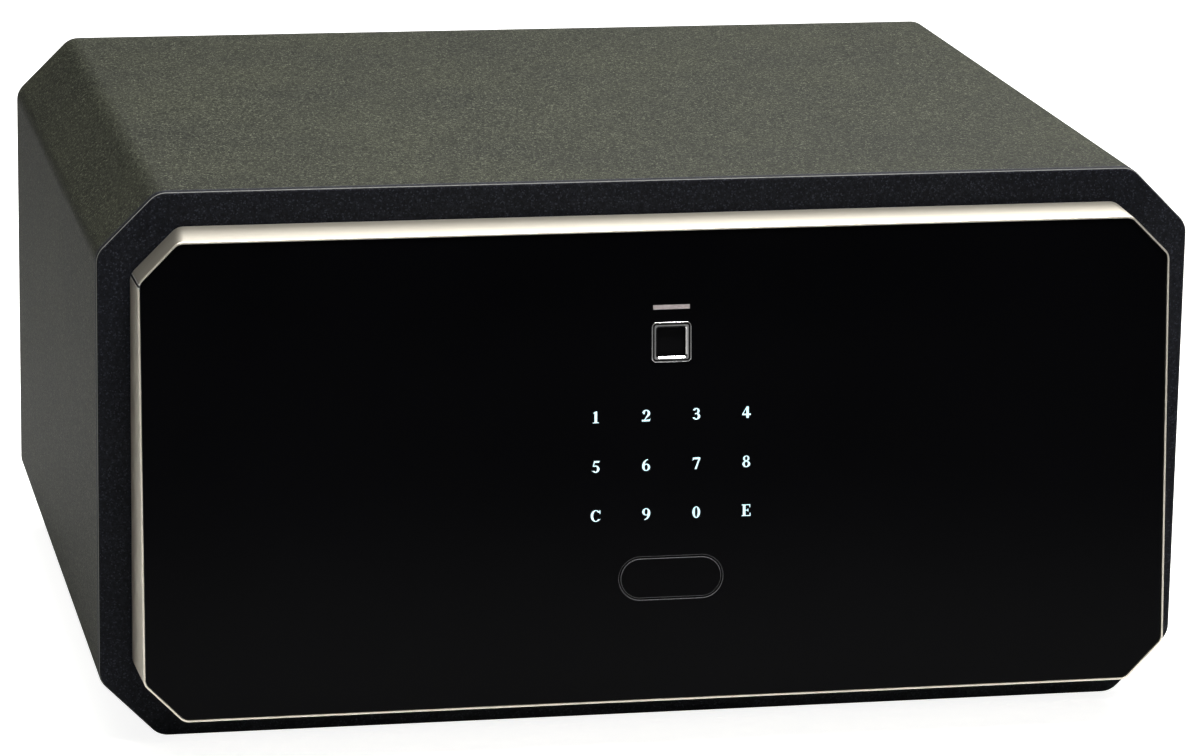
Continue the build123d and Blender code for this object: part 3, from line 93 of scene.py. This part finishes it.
class Paint:
    """Small helper round one node material; every texture uses the piece's own coordinates."""

    def __init__(self, name, base, roughness=0.5, metallic=0.0, specular=0.5):
        self.material = bpy.data.materials.new(name)
        self.material.use_nodes = True
        self.nodes = self.material.node_tree.nodes
        self.links = self.material.node_tree.links
        self.shader = self.nodes["Principled BSDF"]
        self.shader.inputs["Base Color"].default_value = (*base, 1.0)
        self.shader.inputs["Roughness"].default_value = roughness
        self.shader.inputs["Metallic"].default_value = metallic
        self.shader.inputs["Specular IOR Level"].default_value = specular
        spots = self.nodes.new("ShaderNodeTexCoord")
        self.place, self.facing = spots.outputs["Object"], spots.outputs["Normal"]
        self.material.diffuse_color = (*base, 1.0)

    def stretched(self, scale):
        """Coordinates multiplied by a factor on each axis."""
        mapping = self.nodes.new("ShaderNodeMapping")
        mapping.inputs["Scale"].default_value = scale
        self.links.new(self.place, mapping.inputs["Vector"])
        return mapping.outputs["Vector"]

    def noise(self, scale, detail=3.0, rough=0.55, vector=None):
        texture = self.nodes.new("ShaderNodeTexNoise")
        texture.inputs["Scale"].default_value = scale
        texture.inputs["Detail"].default_value = detail
        texture.inputs["Roughness"].default_value = rough
        self.links.new(vector or self.place, texture.inputs["Vector"])
        return texture.outputs["Fac"]

    def cells(self, scale, output="Distance", feature="F1"):
        texture = self.nodes.new("ShaderNodeTexVoronoi")
        texture.feature = feature
        texture.inputs["Scale"].default_value = scale
        self.links.new(self.place, texture.inputs["Vector"])
        return texture.outputs[output]

    def ramp(self, value, stops):
        """Colour ramp; each stop is (position, (r, g, b))."""
        node = self.nodes.new("ShaderNodeValToRGB")
        ends = node.color_ramp.elements
        ends[0].position, ends[0].color = stops[0][0], (*stops[0][1], 1.0)
        ends[1].position, ends[1].color = stops[-1][0], (*stops[-1][1], 1.0)
        for position, colour in stops[1:-1]:
            ends.new(position).color = (*colour, 1.0)
        self.links.new(value, node.inputs["Fac"])
        return node.outputs["Color"]

    def math(self, operation, a, b):
        node = self.nodes.new("ShaderNodeMath")
        node.operation = operation
        for socket, value in zip(node.inputs, (a, b)):
            if isinstance(value, (int, float)):
                socket.default_value = value
            else:
                self.links.new(value, socket)
        return node.outputs["Value"]

    def mix(self, factor, a, b, blend="MIX"):
        node = self.nodes.new("ShaderNodeMix")
        node.data_type = "RGBA"
        node.blend_type = blend
        for name, value in (("Factor", factor), ("A", a), ("B", b)):
            socket = [s for s in node.inputs if s.name == name and s.enabled][-1]
            if isinstance(value, tuple):
                socket.default_value = (*value, 1.0)
            elif isinstance(value, (int, float)):
                socket.default_value = value
            else:
                self.links.new(value, socket)
        return [s for s in node.outputs if s.enabled][-1]

    def map_range(self, value, side, low, high):
        """Map Range node with low and high on one side, "From" or "To", and 0 and 1 on the other."""
        node = self.nodes.new("ShaderNodeMapRange")
        node.inputs[side + " Min"].default_value = low
        node.inputs[side + " Max"].default_value = high
        self.links.new(value, node.inputs["Value"])
        return node.outputs["Result"]

    def between(self, value, low, high):
        """Maps 0..1 onto low..high."""
        return self.map_range(value, "To", low, high)

    def step(self, value, low, high):
        """0 below low, 1 above high, straight in between."""
        return self.map_range(value, "From", low, high)

    def dot(self, vector, other):
        """Dot product of a vector socket with another one or with a constant direction."""
        node = self.nodes.new("ShaderNodeVectorMath")
        node.operation = "DOT_PRODUCT"
        self.links.new(vector, node.inputs[0])
        if isinstance(other, tuple):
            node.inputs[1].default_value = other
        else:
            self.links.new(other, node.inputs[1])
        return node.outputs["Value"]

    def axis(self, name):
        """One component of the piece's own coordinates, in metres."""
        split = self.nodes.new("ShaderNodeSeparateXYZ")
        self.links.new(self.place, split.inputs["Vector"])
        return split.outputs[name]

    def flakes(self, scale, share):
        """Up to 1 on a small share of tiny cells, 0 elsewhere."""
        split = self.nodes.new("ShaderNodeSeparateColor")
        self.links.new(self.cells(scale, "Color"), split.inputs["Color"])
        return self.step(split.outputs["Red"], 1.0 - share, 1.0 - FULL_FLAKES * share)

    def turned(self, direction, low, high):
        """1 where the cosine between the surface normal and `direction` is between low and high."""
        cosine = self.dot(self.facing, direction)
        above = self.step(cosine, low - COSINE_BLUR, low)
        below = self.math("SUBTRACT", 1.0, self.step(cosine, high, high + COSINE_BLUR))
        return self.math("MULTIPLY", above, below)

    def edges(self, radius):
        """1 along edges, 0 on flat faces."""
        rounded = self.nodes.new("ShaderNodeBevel")
        rounded.samples = EDGE_SAMPLES
        rounded.inputs["Radius"].default_value = radius
        flat = self.nodes.new("ShaderNodeNewGeometry")
        cosine = self.dot(rounded.outputs["Normal"], flat.outputs["Normal"])
        return self.step(self.math("SUBTRACT", 1.0, cosine), *EDGE_LEAN)

    def distance(self, normal, offset):
        """Signed distance from the plane p . normal = offset, in metres."""
        return self.math("SUBTRACT", self.dot(self.place, normal), offset)

    def colour(self, socket):
        self.links.new(socket, self.shader.inputs["Base Color"])

    def roughness(self, socket):
        self.links.new(socket, self.shader.inputs["Roughness"])

    def bump(self, height, distance, strength):
        node = self.nodes.new("ShaderNodeBump")
        node.inputs["Strength"].default_value = strength
        node.inputs["Distance"].default_value = distance
        self.links.new(height, node.inputs["Height"])
        self.links.new(node.outputs["Normal"], self.shader.inputs["Normal"])


def scaled(colour, factor):
    return tuple(channel * factor for channel in colour)


COAT_GRAIN, COAT_CLOUDS = 1150.0, 22.0      # noise cells per metre
COAT_PITS, COAT_FLAKES = 900.0, 2600.0      # Voronoi cells per metre
FLAKE_SHARE, FLAKE_STRENGTH, FLAKE_GAIN = 0.10, 0.5, 3.0
# Pale colour on the coat's edges, with its radius and strength: partly wear, partly painted highlight.
COAT_WEAR_AND_HIGHLIGHT_RADIUS, COAT_WEAR_AND_HIGHLIGHT_STRENGTH = 0.5 * MM, 0.3
COAT_WORN_AND_LIT = (0.20, 0.20, 0.19)
FRONT = (0.0, -1.0, 0.0)
ROUNDED = (0.50, 0.72)                      # cosines to the front on the rounding that gets a painted highlight line


def powder_coat(name, dark, light, specular, edge_highlight=0.0):
    """Coarse powder coat: grain just under 1 mm across with single bright flakes.

    The edge highlight argument sets a painted highlight: a thin pale line on edges rounded towards the front."""
    paint = Paint(name, dark, roughness=0.55, specular=specular)
    grain = paint.noise(COAT_GRAIN, detail=4.0, rough=0.75)
    broad = paint.noise(COAT_CLOUDS, detail=3.0, rough=0.5)
    middle = tuple((2 * d + l) / 3 for d, l in zip(dark, light))
    speck = paint.ramp(grain, [(0.40, dark), (0.52, middle), (0.66, light)])
    tone = paint.ramp(broad, [(0.35, (0.88, 0.88, 0.90)), (0.68, (1.08, 1.08, 1.04))])
    body = paint.mix(1.0, speck, tone, "MULTIPLY")
    flakes = paint.math("MULTIPLY", paint.flakes(COAT_FLAKES, FLAKE_SHARE), FLAKE_STRENGTH)
    body = paint.mix(flakes, body, scaled(light, FLAKE_GAIN))
    # Partly wear, partly painted highlight: every edge is mixed towards the pale edge colour.
    worn_and_lit_edges = paint.math("MULTIPLY", paint.edges(COAT_WEAR_AND_HIGHLIGHT_RADIUS), COAT_WEAR_AND_HIGHLIGHT_STRENGTH)
    # Painted highlight: a thin pale line where an edge rounds away from the front face.
    painted_highlight = paint.math("MULTIPLY", paint.turned(FRONT, *ROUNDED), edge_highlight)
    paint.colour(paint.mix(paint.math("MAXIMUM", worn_and_lit_edges, painted_highlight), body, COAT_WORN_AND_LIT))
    paint.roughness(paint.between(grain, 0.42, 0.68))
    pits = paint.cells(COAT_PITS, feature="SMOOTH_F1")
    height = paint.math("ADD", paint.math("MULTIPLY", grain, 0.7), paint.math("MULTIPLY", pits, 0.6))
    paint.bump(height, distance=0.22 * MM, strength=0.9)
    return paint.material


SEAM_END = -0.14                            # the seam is drawn to the left of this x
SEAM_HALF, SEAM_HIGHLIGHT_HALF = 0.34 * MM, 0.8 * MM    # to each side: open joint, painted highlight on the metal next to it
# Colour of the painted highlight next to the joint, and of the dark open joint.
SEAM_PAINTED_HIGHLIGHT, SEAM_DARK = (0.95, 0.93, 0.90), (0.01, 0.01, 0.01)
# Radius of the lightened metal edges: partly wear, partly painted highlight.
METAL_WEAR_AND_HIGHLIGHT_RADIUS = 0.3 * MM
METAL_BLAST = 3800.0                        # noise cells per metre
METAL_STREAKS = (30.0, 2400.0, 30.0)        # noise cells per metre along x, y and z
LIP_COSINES = (0.75, 1.1)                   # surfaces that face as the panel does, which get a painted highlight


def anodised(name, base, roughness, streak=0.06, seam=False):
    """Satin anodised aluminium: very fine blasted grain and faint long streaks.

    `seam` darkens the open butt joint of the bent strip and paints a highlight on the metal next to it."""
    paint = Paint(name, base, roughness, metallic=1.0)
    grain = paint.noise(METAL_BLAST, detail=2.0, rough=0.6)
    long_streaks = paint.noise(1.0, detail=2.0, rough=0.5, vector=paint.stretched(METAL_STREAKS))
    shade = paint.ramp(long_streaks, [(0.3, scaled(base, 1 - streak)), (0.7, base)])
    # Painted highlight: faces that look as the panel does are lightened, and so are the edges, partly wear.
    lip_and_edge_highlight = paint.math("MAXIMUM", paint.math("MULTIPLY", paint.edges(METAL_WEAR_AND_HIGHLIGHT_RADIUS), 0.6),
                        paint.turned(PANEL_NORMAL, *LIP_COSINES))
    body = paint.mix(lip_and_edge_highlight, shade, scaled(base, 1.3))
    if seam:
        away = paint.math("ABSOLUTE", paint.distance(SEAM_NORMAL, SEAM_OFFSET), 0.0)
        corner = paint.math("LESS_THAN", paint.axis("X"), SEAM_END)
        # Painted highlight on the metal either side of the joint.
        seam_highlight = paint.math("MULTIPLY", corner, paint.math("LESS_THAN", away, SEAM_HIGHLIGHT_HALF))
        inside = paint.math("MULTIPLY", corner, paint.math("LESS_THAN", away, SEAM_HALF))
        body = paint.mix(paint.math("MULTIPLY", seam_highlight, 0.8), body, SEAM_PAINTED_HIGHLIGHT)
        body = paint.mix(inside, body, SEAM_DARK)
    paint.colour(body)
    paint.roughness(paint.between(grain, roughness - 0.05, roughness + 0.07))
    paint.bump(grain, distance=0.03 * MM, strength=0.6)
    return paint.material


GLASS, GLASS_DARK, GLASS_SMEAR = (0.0013, 0.0013, 0.0018), (0.0011, 0.0011, 0.0015), (0.0016, 0.0016, 0.0021)
GROUND_DARK, GROUND_LIGHT = (0.06, 0.06, 0.065), (0.13, 0.13, 0.135)
GROUND_COSINES = (0.45, 0.93)               # bevel between the glass face and its sides


def black_glass(name):
    """Glass painted black behind, with a trace of smear, and a pale ground bevel at its edges."""
    paint = Paint(name, GLASS, roughness=0.05, specular=0.045)
    smear = paint.noise(14.0, detail=4.0, rough=0.6)
    body = paint.ramp(smear, [(0.3, GLASS_DARK), (0.75, GLASS_SMEAR)])
    ground = paint.turned(PANEL_NORMAL, *GROUND_COSINES)
    grit = paint.ramp(paint.noise(2500.0, detail=2.0), [(0.3, GROUND_DARK), (0.7, GROUND_LIGHT)])
    paint.colour(paint.mix(ground, body, grit))
    paint.roughness(paint.math("MAXIMUM", paint.between(smear, 0.03, 0.09),
                               paint.math("MULTIPLY", ground, 0.55)))
    return paint.material


GROOVE_DEPTH = 0.20 * MM                    # what lies deeper behind the bezel's front is its groove
GROOVE_COSINES, WALL_COSINES = (0.95, 1.1), (-0.3, 0.3)
PLATING, PLATING_LIGHT, GROOVE_PAINTED_SHADE = (0.80, 0.80, 0.82), (0.92, 0.92, 0.92), (0.02, 0.02, 0.02)


def chrome(name):
    """Polished plating, a little hazy, with painted shade in the bezel's groove and on its walls."""
    paint = Paint(name, PLATING, roughness=0.10, metallic=1.0)
    haze = paint.noise(700.0, detail=2.0, rough=0.5)
    plating = paint.ramp(haze, [(0.3, PLATING), (0.7, PLATING_LIGHT)])
    sunk = paint.math("LESS_THAN", paint.distance(PANEL_NORMAL, BEZEL_FRONT), -GROOVE_DEPTH)
    flat = paint.step(paint.turned(PANEL_NORMAL, *GROOVE_COSINES), 0.2, 0.5)
    walls = paint.turned(PANEL_NORMAL, *WALL_COSINES)
    # Painted shade: the groove floor and the groove walls are mixed towards near black.
    dark = paint.math("MAXIMUM", paint.math("MULTIPLY", sunk, flat), walls)
    paint.colour(paint.mix(dark, plating, GROOVE_PAINTED_SHADE))
    paint.roughness(paint.between(haze, 0.08, 0.16))
    return paint.material


BRUSH_ALONG, BRUSH_ACROSS = 60.0, 900.0     # noise cells per metre


def steel(name, base, roughness, direction=(1.0, 1.0, 1.0)):
    """Plated or turned steel: mottled tone with fine brushed lines across `direction`."""
    paint = Paint(name, base, roughness, metallic=1.0)
    mottle = paint.noise(120.0, detail=4.0, rough=0.6)
    brushed = tuple(BRUSH_ACROSS * d + BRUSH_ALONG for d in direction)
    lines = paint.noise(1.0, detail=2.0, rough=0.5, vector=paint.stretched(brushed))
    tone = paint.ramp(mottle, [(0.3, scaled(base, 0.82)), (0.7, base)])
    paint.colour(paint.mix(paint.math("MULTIPLY", lines, 0.25), tone, scaled(base, 0.7)))
    paint.roughness(paint.between(lines, roughness - 0.06, roughness + 0.12))
    paint.bump(lines, distance=0.04 * MM, strength=0.5)
    return paint.material


def moulded(name, base, roughness, specular=0.4, grain=1800.0):
    """Injection-moulded plastic with a fine spark-eroded texture."""
    paint = Paint(name, base, roughness, specular=specular)
    fine = paint.noise(grain, detail=3.0, rough=0.6)
    wide = paint.noise(40.0, detail=2.0, rough=0.5)
    paint.colour(paint.ramp(wide, [(0.3, scaled(base, 0.85)), (0.7, scaled(base, 1.12))]))
    paint.roughness(paint.between(fine, roughness - 0.08, roughness + 0.1))
    paint.bump(fine, distance=0.08 * MM, strength=0.6)
    return paint.material


FIBRES = ((900.0, 260.0, 260.0), (260.0, 900.0, 900.0))     # noise cells per metre of the two layers


def felt(name, dark, light):
    """Needle felt: matted fibres with a soft sheen."""
    paint = Paint(name, dark, roughness=0.95, specular=0.15)
    layers = [paint.noise(1.0, detail=4.0, rough=0.7, vector=paint.stretched(scale)) for scale in FIBRES]
    fibres = paint.math("MULTIPLY", *layers)
    paint.colour(paint.ramp(fibres, [(0.12, dark), (0.42, light)]))
    paint.bump(fibres, distance=0.8 * MM, strength=0.9)
    paint.shader.inputs["Sheen Weight"].default_value = 0.35
    paint.shader.inputs["Sheen Roughness"].default_value = 0.6
    return paint.material


def foam(name, dark, light):
    """Open-cell foam: small pores all over, painted darker as shade in their hollows."""
    paint = Paint(name, dark, roughness=0.95, specular=0.1)
    pores = paint.cells(1300.0)
    wide = paint.noise(60.0, detail=3.0, rough=0.5)
    # Painted shade: the pore hollows go much darker than the foam's own tone.
    speck = paint.ramp(pores, [(0.08, scaled(dark, 0.35)), (0.5, light)])
    paint.colour(paint.mix(paint.math("MULTIPLY", wide, 0.4), speck, dark))
    paint.bump(pores, distance=0.5 * MM, strength=0.8)
    return paint.material


def circuit(name, base, copper):
    """Solder mask with traces showing through as a fine raised pattern."""
    paint = Paint(name, base, roughness=0.35)
    weave = paint.nodes.new("ShaderNodeTexBrick")
    weave.inputs["Scale"].default_value = 160.0
    weave.inputs["Mortar Size"].default_value = 0.06
    weave.inputs["Color1"].default_value = (*base, 1.0)
    weave.inputs["Color2"].default_value = (*scaled(base, 0.8), 1.0)
    weave.inputs["Mortar"].default_value = (*copper, 1.0)
    turned = paint.nodes.new("ShaderNodeMapping")
    turned.inputs["Rotation"].default_value = (math.radians(90), 0.0, 0.0)
    paint.links.new(paint.place, turned.inputs["Vector"])
    paint.links.new(turned.outputs["Vector"], weave.inputs["Vector"])
    paint.colour(weave.outputs["Color"])
    paint.bump(weave.outputs["Fac"], distance=0.06 * MM, strength=0.6)
    return paint.material


def glowing(name, base, light, power):
    """Back-lit marking: pale surface with its own light, a little uneven."""
    paint = Paint(name, base, roughness=0.4)
    uneven = paint.noise(900.0, detail=2.0, rough=0.5)
    glow = paint.ramp(uneven, [(0.3, scaled(light, 0.8)), (0.7, light)])
    paint.links.new(glow, paint.shader.inputs["Emission Color"])
    paint.shader.inputs["Emission Strength"].default_value = power
    paint.colour(paint.ramp(uneven, [(0.3, scaled(base, 0.8)), (0.7, base)]))
    return paint.material


WRAP, COPPER, BARE = (0.02, 0.022, 0.026), (0.45, 0.22, 0.08), (0.6, 0.6, 0.58)
SLEEVE, GRIME = (0.05, 0.05, 0.06), (0.02, 0.02, 0.02)


def cell_sleeve(name):
    """Battery sleeve: dark wrap with a copper-coloured band towards each end and bare ends."""
    paint = Paint(name, SLEEVE, roughness=0.3)
    bottom, top = (corner[2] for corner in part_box("batteries"))
    from_middle = paint.math("SUBTRACT", paint.axis("Z"), (bottom + top) / 2)
    away = paint.math("DIVIDE", paint.math("ABSOLUTE", from_middle, 0.0), (top - bottom) / 2)
    bands = paint.ramp(away, [(0.0, WRAP), (0.54, WRAP), (0.56, COPPER), (0.925, COPPER), (0.935, BARE)])
    grime = paint.noise(300.0, detail=3.0, rough=0.5)
    paint.colour(paint.mix(paint.math("MULTIPLY", grime, 0.3), bands, GRIME))
    paint.roughness(paint.between(grime, 0.22, 0.42))
    return paint.material


OLIVE_DARK, OLIVE_LIGHT = (0.0088, 0.0092, 0.0068), (0.060, 0.063, 0.046)
# Darker, bluer copy of the same powder coat: painted shade for the front faces, which get less light than the
# top.
SHADED_FRONT_DARK, SHADED_FRONT_LIGHT = (0.0060, 0.0064, 0.0084), (0.0165, 0.0178, 0.0235)
CHAMPAGNE = (0.71, 0.665, 0.57)

coat = powder_coat("powder_coat", OLIVE_DARK, OLIVE_LIGHT, specular=0.05)
shaded_front_coat = powder_coat("shaded_front_coat", SHADED_FRONT_DARK, SHADED_FRONT_LIGHT, specular=0.07, edge_highlight=0.8)
MATERIALS = {
    "powder_coat": coat,
    "trim_metal": anodised("trim_metal", CHAMPAGNE, roughness=0.42, seam=True),
    "black_glass": black_glass("black_glass"),
    "chrome": chrome("chrome"),
    "status_metal": anodised("status_metal", (0.62, 0.55, 0.55), roughness=0.4, streak=0.12),
    "sensor_black": moulded("sensor_black", (0.002, 0.002, 0.0025), roughness=0.45, specular=0.05,
                            grain=5000.0),
    "legend_light": glowing("legend_light", (0.55, 0.75, 0.80), (0.66, 0.92, 1.0), power=0.78),
    "black_plastic": moulded("black_plastic", (0.022, 0.022, 0.024), roughness=0.55),
    "circuit_green": circuit("circuit_green", (0.010, 0.075, 0.030), (0.03, 0.16, 0.07)),
    "component_black": moulded("component_black", (0.018, 0.018, 0.019), roughness=0.42),
    "zinc_steel": steel("zinc_steel", (0.56, 0.56, 0.54), roughness=0.34),
    "bolt_steel": steel("bolt_steel", (0.68, 0.68, 0.68), roughness=0.20, direction=(1.0, 0.0, 0.0)),
    "screw_black": moulded("screw_black", (0.030, 0.030, 0.032), roughness=0.32, specular=0.6),
    "lock_brass": steel("lock_brass", (0.70, 0.53, 0.26), roughness=0.28),
    "rubber": moulded("rubber", (0.017, 0.017, 0.017), roughness=0.75, specular=0.25, grain=1200.0),
    "foam": foam("foam", (0.022, 0.022, 0.024), (0.085, 0.085, 0.09)),
    "felt": felt("felt", (0.020, 0.020, 0.022), (0.090, 0.090, 0.096)),
    "lamp_lens": glowing("lamp_lens", (0.80, 0.82, 0.84), (0.95, 0.97, 1.0), power=0.15),
    "cell_sleeve": cell_sleeve("cell_sleeve"),
    "gear_plastic": moulded("gear_plastic", (0.74, 0.71, 0.62), roughness=0.45),
}
slot_of = {entry["node"]: entry["material_slot"] for entry in frame["record"]["subparts"]}
for node, piece in frame["nodes"].items():
    piece.data.materials.clear()
    piece.data.materials.append(MATERIALS[slot_of[node]])
# Painted shade: the front ring and the door plate take the darker copy of the coat.
for node in ("front_ring", "door_plate"):
    frame["nodes"][node].data.materials[0] = shaded_front_coat


# ---------------------------------------------------------------- liners
DEEPEST = 0.8               # a pad's relief goes no deeper than this share of its thickness
WELD = 0.001 * MM


def add_piece(name, mesh, body, slot):
    piece = bpy.data.objects.new(name, mesh)
    scene.collection.objects.link(piece)
    mesh.materials.append(MATERIALS[slot])
    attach(piece, body)
    return piece


def pad_mesh(name, low, high, facing, relief, cell, bevel, holes=(), leg=0.0):
    """Rounded pad that fills the box low..high; its free face looks along `facing`.

    `facing` is (axis, sign), relief(u, v) lowers the free face, `holes` lists (u, v, radius) in
    world coordinates, and `leg` cuts the four corners at 45 degrees.  All in metres."""
    axis, sign = facing
    across, up = [i for i in range(3) if i != axis]
    width, depth = high[across] - low[across], high[up] - low[up]
    columns, rows = int(width / cell), int(depth / cell)
    thickness = high[axis] - low[axis]
    free, fixed = (high[axis], low[axis]) if sign > 0 else (low[axis], high[axis])
    mesh = bmesh.new()

    def vertex(i, j):
        u, v = width * i / columns, depth * j / rows
        inset = max(0.0, min(bevel, u, width - u, v, depth - v))
        round_down = bevel - math.sqrt(max(0.0, bevel ** 2 - (bevel - inset) ** 2))
        squeeze = 1 - 2 * max(0.0, leg - min(v, depth - v)) / width
        place = [0.0, 0.0, 0.0]
        place[across] = low[across] + width / 2 + (u - width / 2) * squeeze
        place[up] = low[up] + v
        place[axis] = free - sign * min(thickness * DEEPEST, round_down + relief(u, v))
        return mesh.verts.new(place)

    def hole_at(point, margin=0.0):
        """The hole whose circle, grown by `margin`, holds the point."""
        for x, y, radius in holes:
            if math.hypot(point[across] - x, point[up] - y) < radius + margin:
                return x, y, radius
        return None

    grid = [[vertex(i, j) for j in range(rows + 1)] for i in range(columns + 1)]
    for i in range(columns):
        for j in range(rows):
            if not hole_at((grid[i][j].co + grid[i + 1][j + 1].co) / 2):
                mesh.faces.new((grid[i][j], grid[i + 1][j], grid[i + 1][j + 1], grid[i][j + 1]))
    bmesh.ops.delete(mesh, geom=[v for v in mesh.verts if not v.link_faces], context="VERTS")
    rim = [e for e in mesh.edges if len(e.link_faces) == 1]
    for vert in {v for e in rim for v in e.verts}:
        hole = hole_at(vert.co, cell)
        if hole:
            x, y, radius = hole
            reach = math.hypot(vert.co[across] - x, vert.co[up] - y)
            vert.co[across] = x + (vert.co[across] - x) * radius / reach
            vert.co[up] = y + (vert.co[up] - y) * radius / reach
    front = list(mesh.faces)
    back = bmesh.ops.duplicate(mesh, geom=front)["geom"]
    for vert in [g for g in back if isinstance(g, bmesh.types.BMVert)]:
        vert.co[axis] = fixed
    wall = bmesh.ops.extrude_edge_only(mesh, edges=rim)["geom"]
    for vert in [g for g in wall if isinstance(g, bmesh.types.BMVert)]:
        vert.co[axis] = fixed
    bmesh.ops.remove_doubles(mesh, verts=mesh.verts, dist=WELD)
    bmesh.ops.recalc_face_normals(mesh, faces=mesh.faces)
    data = bpy.data.meshes.new(name)
    mesh.to_mesh(data)
    mesh.free()
    for polygon in data.polygons:
        polygon.use_smooth = True
    return data


EGG_PITCH, EGG_DEPTH, EGG_SHARPNESS = 16 * MM, 2.6 * MM, 1.3
FELT_DEPTH, FELT_WAVES = 0.3 * MM, 18       # unevenness of the felt, and how many waves to a metre
FOAM_CELL, FELT_CELL = 2.0 * MM, 3.0 * MM   # spacing of the meshes
FOAM_ROUND, REAR_ROUND, FELT_ROUND = 2.5 * MM, 1.2 * MM, 1.6 * MM
REAR_LEG = 14 * MM                          # corners cut from the rear panel


def egg_crate(u, v):
    """Rounded peaks and hollows of convoluted foam."""
    turn = 2 * math.pi / EGG_PITCH
    wave = 0.5 + 0.25 * (math.cos(turn * u) + math.cos(turn * v))
    return EGG_DEPTH * (1 - wave ** EGG_SHARPNESS)


def quilt(seed):
    """Slightly uneven surface of a glued felt panel."""
    def shape(u, v):
        place = Vector((u * FELT_WAVES + seed, v * FELT_WAVES, seed))
        return FELT_DEPTH * (0.5 + 0.5 * noise.noise(place))
    return shape


ANCHOR_ACCESS = 9.25 * MM        # radius of the openings over the anchor holes
ANCHOR_X, ANCHOR_Y = 100 * MM, 60 * MM


def lay_liner(node, suffix, slot, *shape):
    """Puts a modelled pad in the place of the plain CAD liner; `shape` goes on to pad_mesh."""
    low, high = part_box(node)
    piece = add_piece(node + suffix, pad_mesh(node + suffix, low, high, *shape), "safe_body", slot)
    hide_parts(node)


def make_liners():
    middle = (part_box("front_ring")[0][1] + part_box("back_plate")[1][1]) / 2
    level = sum(p[2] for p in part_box("rear_liner")) / 2
    floor_holes = [(x * ANCHOR_X, middle + y * ANCHOR_Y, ANCHOR_ACCESS) for x in (-1, 1) for y in (-1, 1)]
    rear_holes = [(x * ANCHOR_X, level, ANCHOR_ACCESS) for x in (-1, 1)]
    lay_liner("floor_liner", "_foam", "foam", (2, 1), egg_crate, FOAM_CELL, FOAM_ROUND, floor_holes)
    lay_liner("rear_liner", "_felt", "felt", (1, -1), quilt(4.0), FELT_CELL, REAR_ROUND, rear_holes, REAR_LEG)
    for node, facing, seed in (("right_liner", (0, -1), 1.0), ("left_liner", (0, 1), 2.0),
                               ("ceiling_liner", (2, -1), 3.0)):
        lay_liner(node, "_felt", "felt", facing, quilt(seed), FELT_CELL, FELT_ROUND)


make_liners()


# ---------------------------------------------------------------- floor and light
FLOOR_GLOW = 0.9            # lit table: lightens the shadows that the camera sees
FLOOR_HALF = 9.0            # metres from the middle to each side
WORLD_GLOW = 0.05           # what the safe reflects of the room
WHITE = (1.0, 1.0, 1.0, 1.0)
PAPER, PAPER_DARK, PAPER_LIGHT = (0.62, 0.62, 0.61), (0.61, 0.61, 0.60), (0.63, 0.63, 0.62)


def make_floor():
    mesh = bpy.data.meshes.new("floor")
    grid = bmesh.new()
    bmesh.ops.create_grid(grid, x_segments=2, y_segments=2, size=FLOOR_HALF)
    grid.to_mesh(mesh)
    grid.free()
    floor = bpy.data.objects.new("floor", mesh)
    scene.collection.objects.link(floor)
    paint = Paint("floor_paper", PAPER, roughness=0.9, specular=0.1)
    paint.colour(paint.ramp(paint.noise(3.0, detail=2.0), [(0.3, PAPER_DARK), (0.7, PAPER_LIGHT)]))
    path = paint.nodes.new("ShaderNodeLightPath")
    glow = paint.math("MULTIPLY", path.outputs["Is Camera Ray"], FLOOR_GLOW)
    paint.shader.inputs["Emission Color"].default_value = WHITE
    paint.links.new(glow, paint.shader.inputs["Emission Strength"])
    mesh.materials.append(paint.material)


def softbox(name, place, target, size, power, spread=180.0, colour=(1.0, 1.0, 1.0)):
    """Rectangular soft light: metres, watts and degrees; a small spread keeps it to its target."""
    data = bpy.data.lights.new(name, "AREA")
    data.shape = "RECTANGLE"
    data.size, data.size_y = size
    data.energy = power
    data.color = colour
    data.spread = math.radians(spread)
    lamp = bpy.data.objects.new(name, data)
    scene.collection.objects.link(lamp)
    aim = (Vector(target) - Vector(place)).to_track_quat("-Z", "Y")
    lamp.matrix_world = Matrix.Translation(Vector(place)) @ aim.to_matrix().to_4x4()


def make_world():
    """White to the camera, a dim grey for everything that the safe reflects."""
    world = bpy.data.worlds.new("studio")
    scene.world = world
    world.use_nodes = True
    nodes, links = world.node_tree.nodes, world.node_tree.links
    seen, lit = nodes["Background"], nodes.new("ShaderNodeBackground")
    seen.inputs["Color"].default_value = WHITE
    seen.inputs["Strength"].default_value = 1.0
    lit.inputs["Color"].default_value = WHITE
    lit.inputs["Strength"].default_value = WORLD_GLOW
    path, choose = nodes.new("ShaderNodeLightPath"), nodes.new("ShaderNodeMixShader")
    links.new(path.outputs["Is Camera Ray"], choose.inputs["Fac"])
    links.new(lit.outputs["Background"], choose.inputs[1])
    links.new(seen.outputs["Background"], choose.inputs[2])
    links.new(choose.outputs["Shader"], nodes["World Output"].inputs["Surface"])


make_floor()
make_world()
CENTRE = (0.0, 0.0, 0.09)   # of the safe, where three of the lights point
WARM = (1.0, 0.99, 0.88)
softbox("key", (0.65, 0.85, 1.6), CENTRE, size=(1.5, 1.5), power=44.0)
softbox("top", (0.2, -0.45, 1.5), CENTRE, size=(1.0, 0.5), power=6.5, spread=70.0)
softbox("left_floor", (-1.1, -0.1, 1.4), (-0.9, -0.1, 0.0), size=(0.9, 1.6), power=1.3, spread=60.0,
        colour=WARM)
softbox("front_fill", (0.5, -1.9, 0.7), CENTRE, size=(0.7, 0.7), power=1.1)
scene.view_settings.view_transform = "Standard"
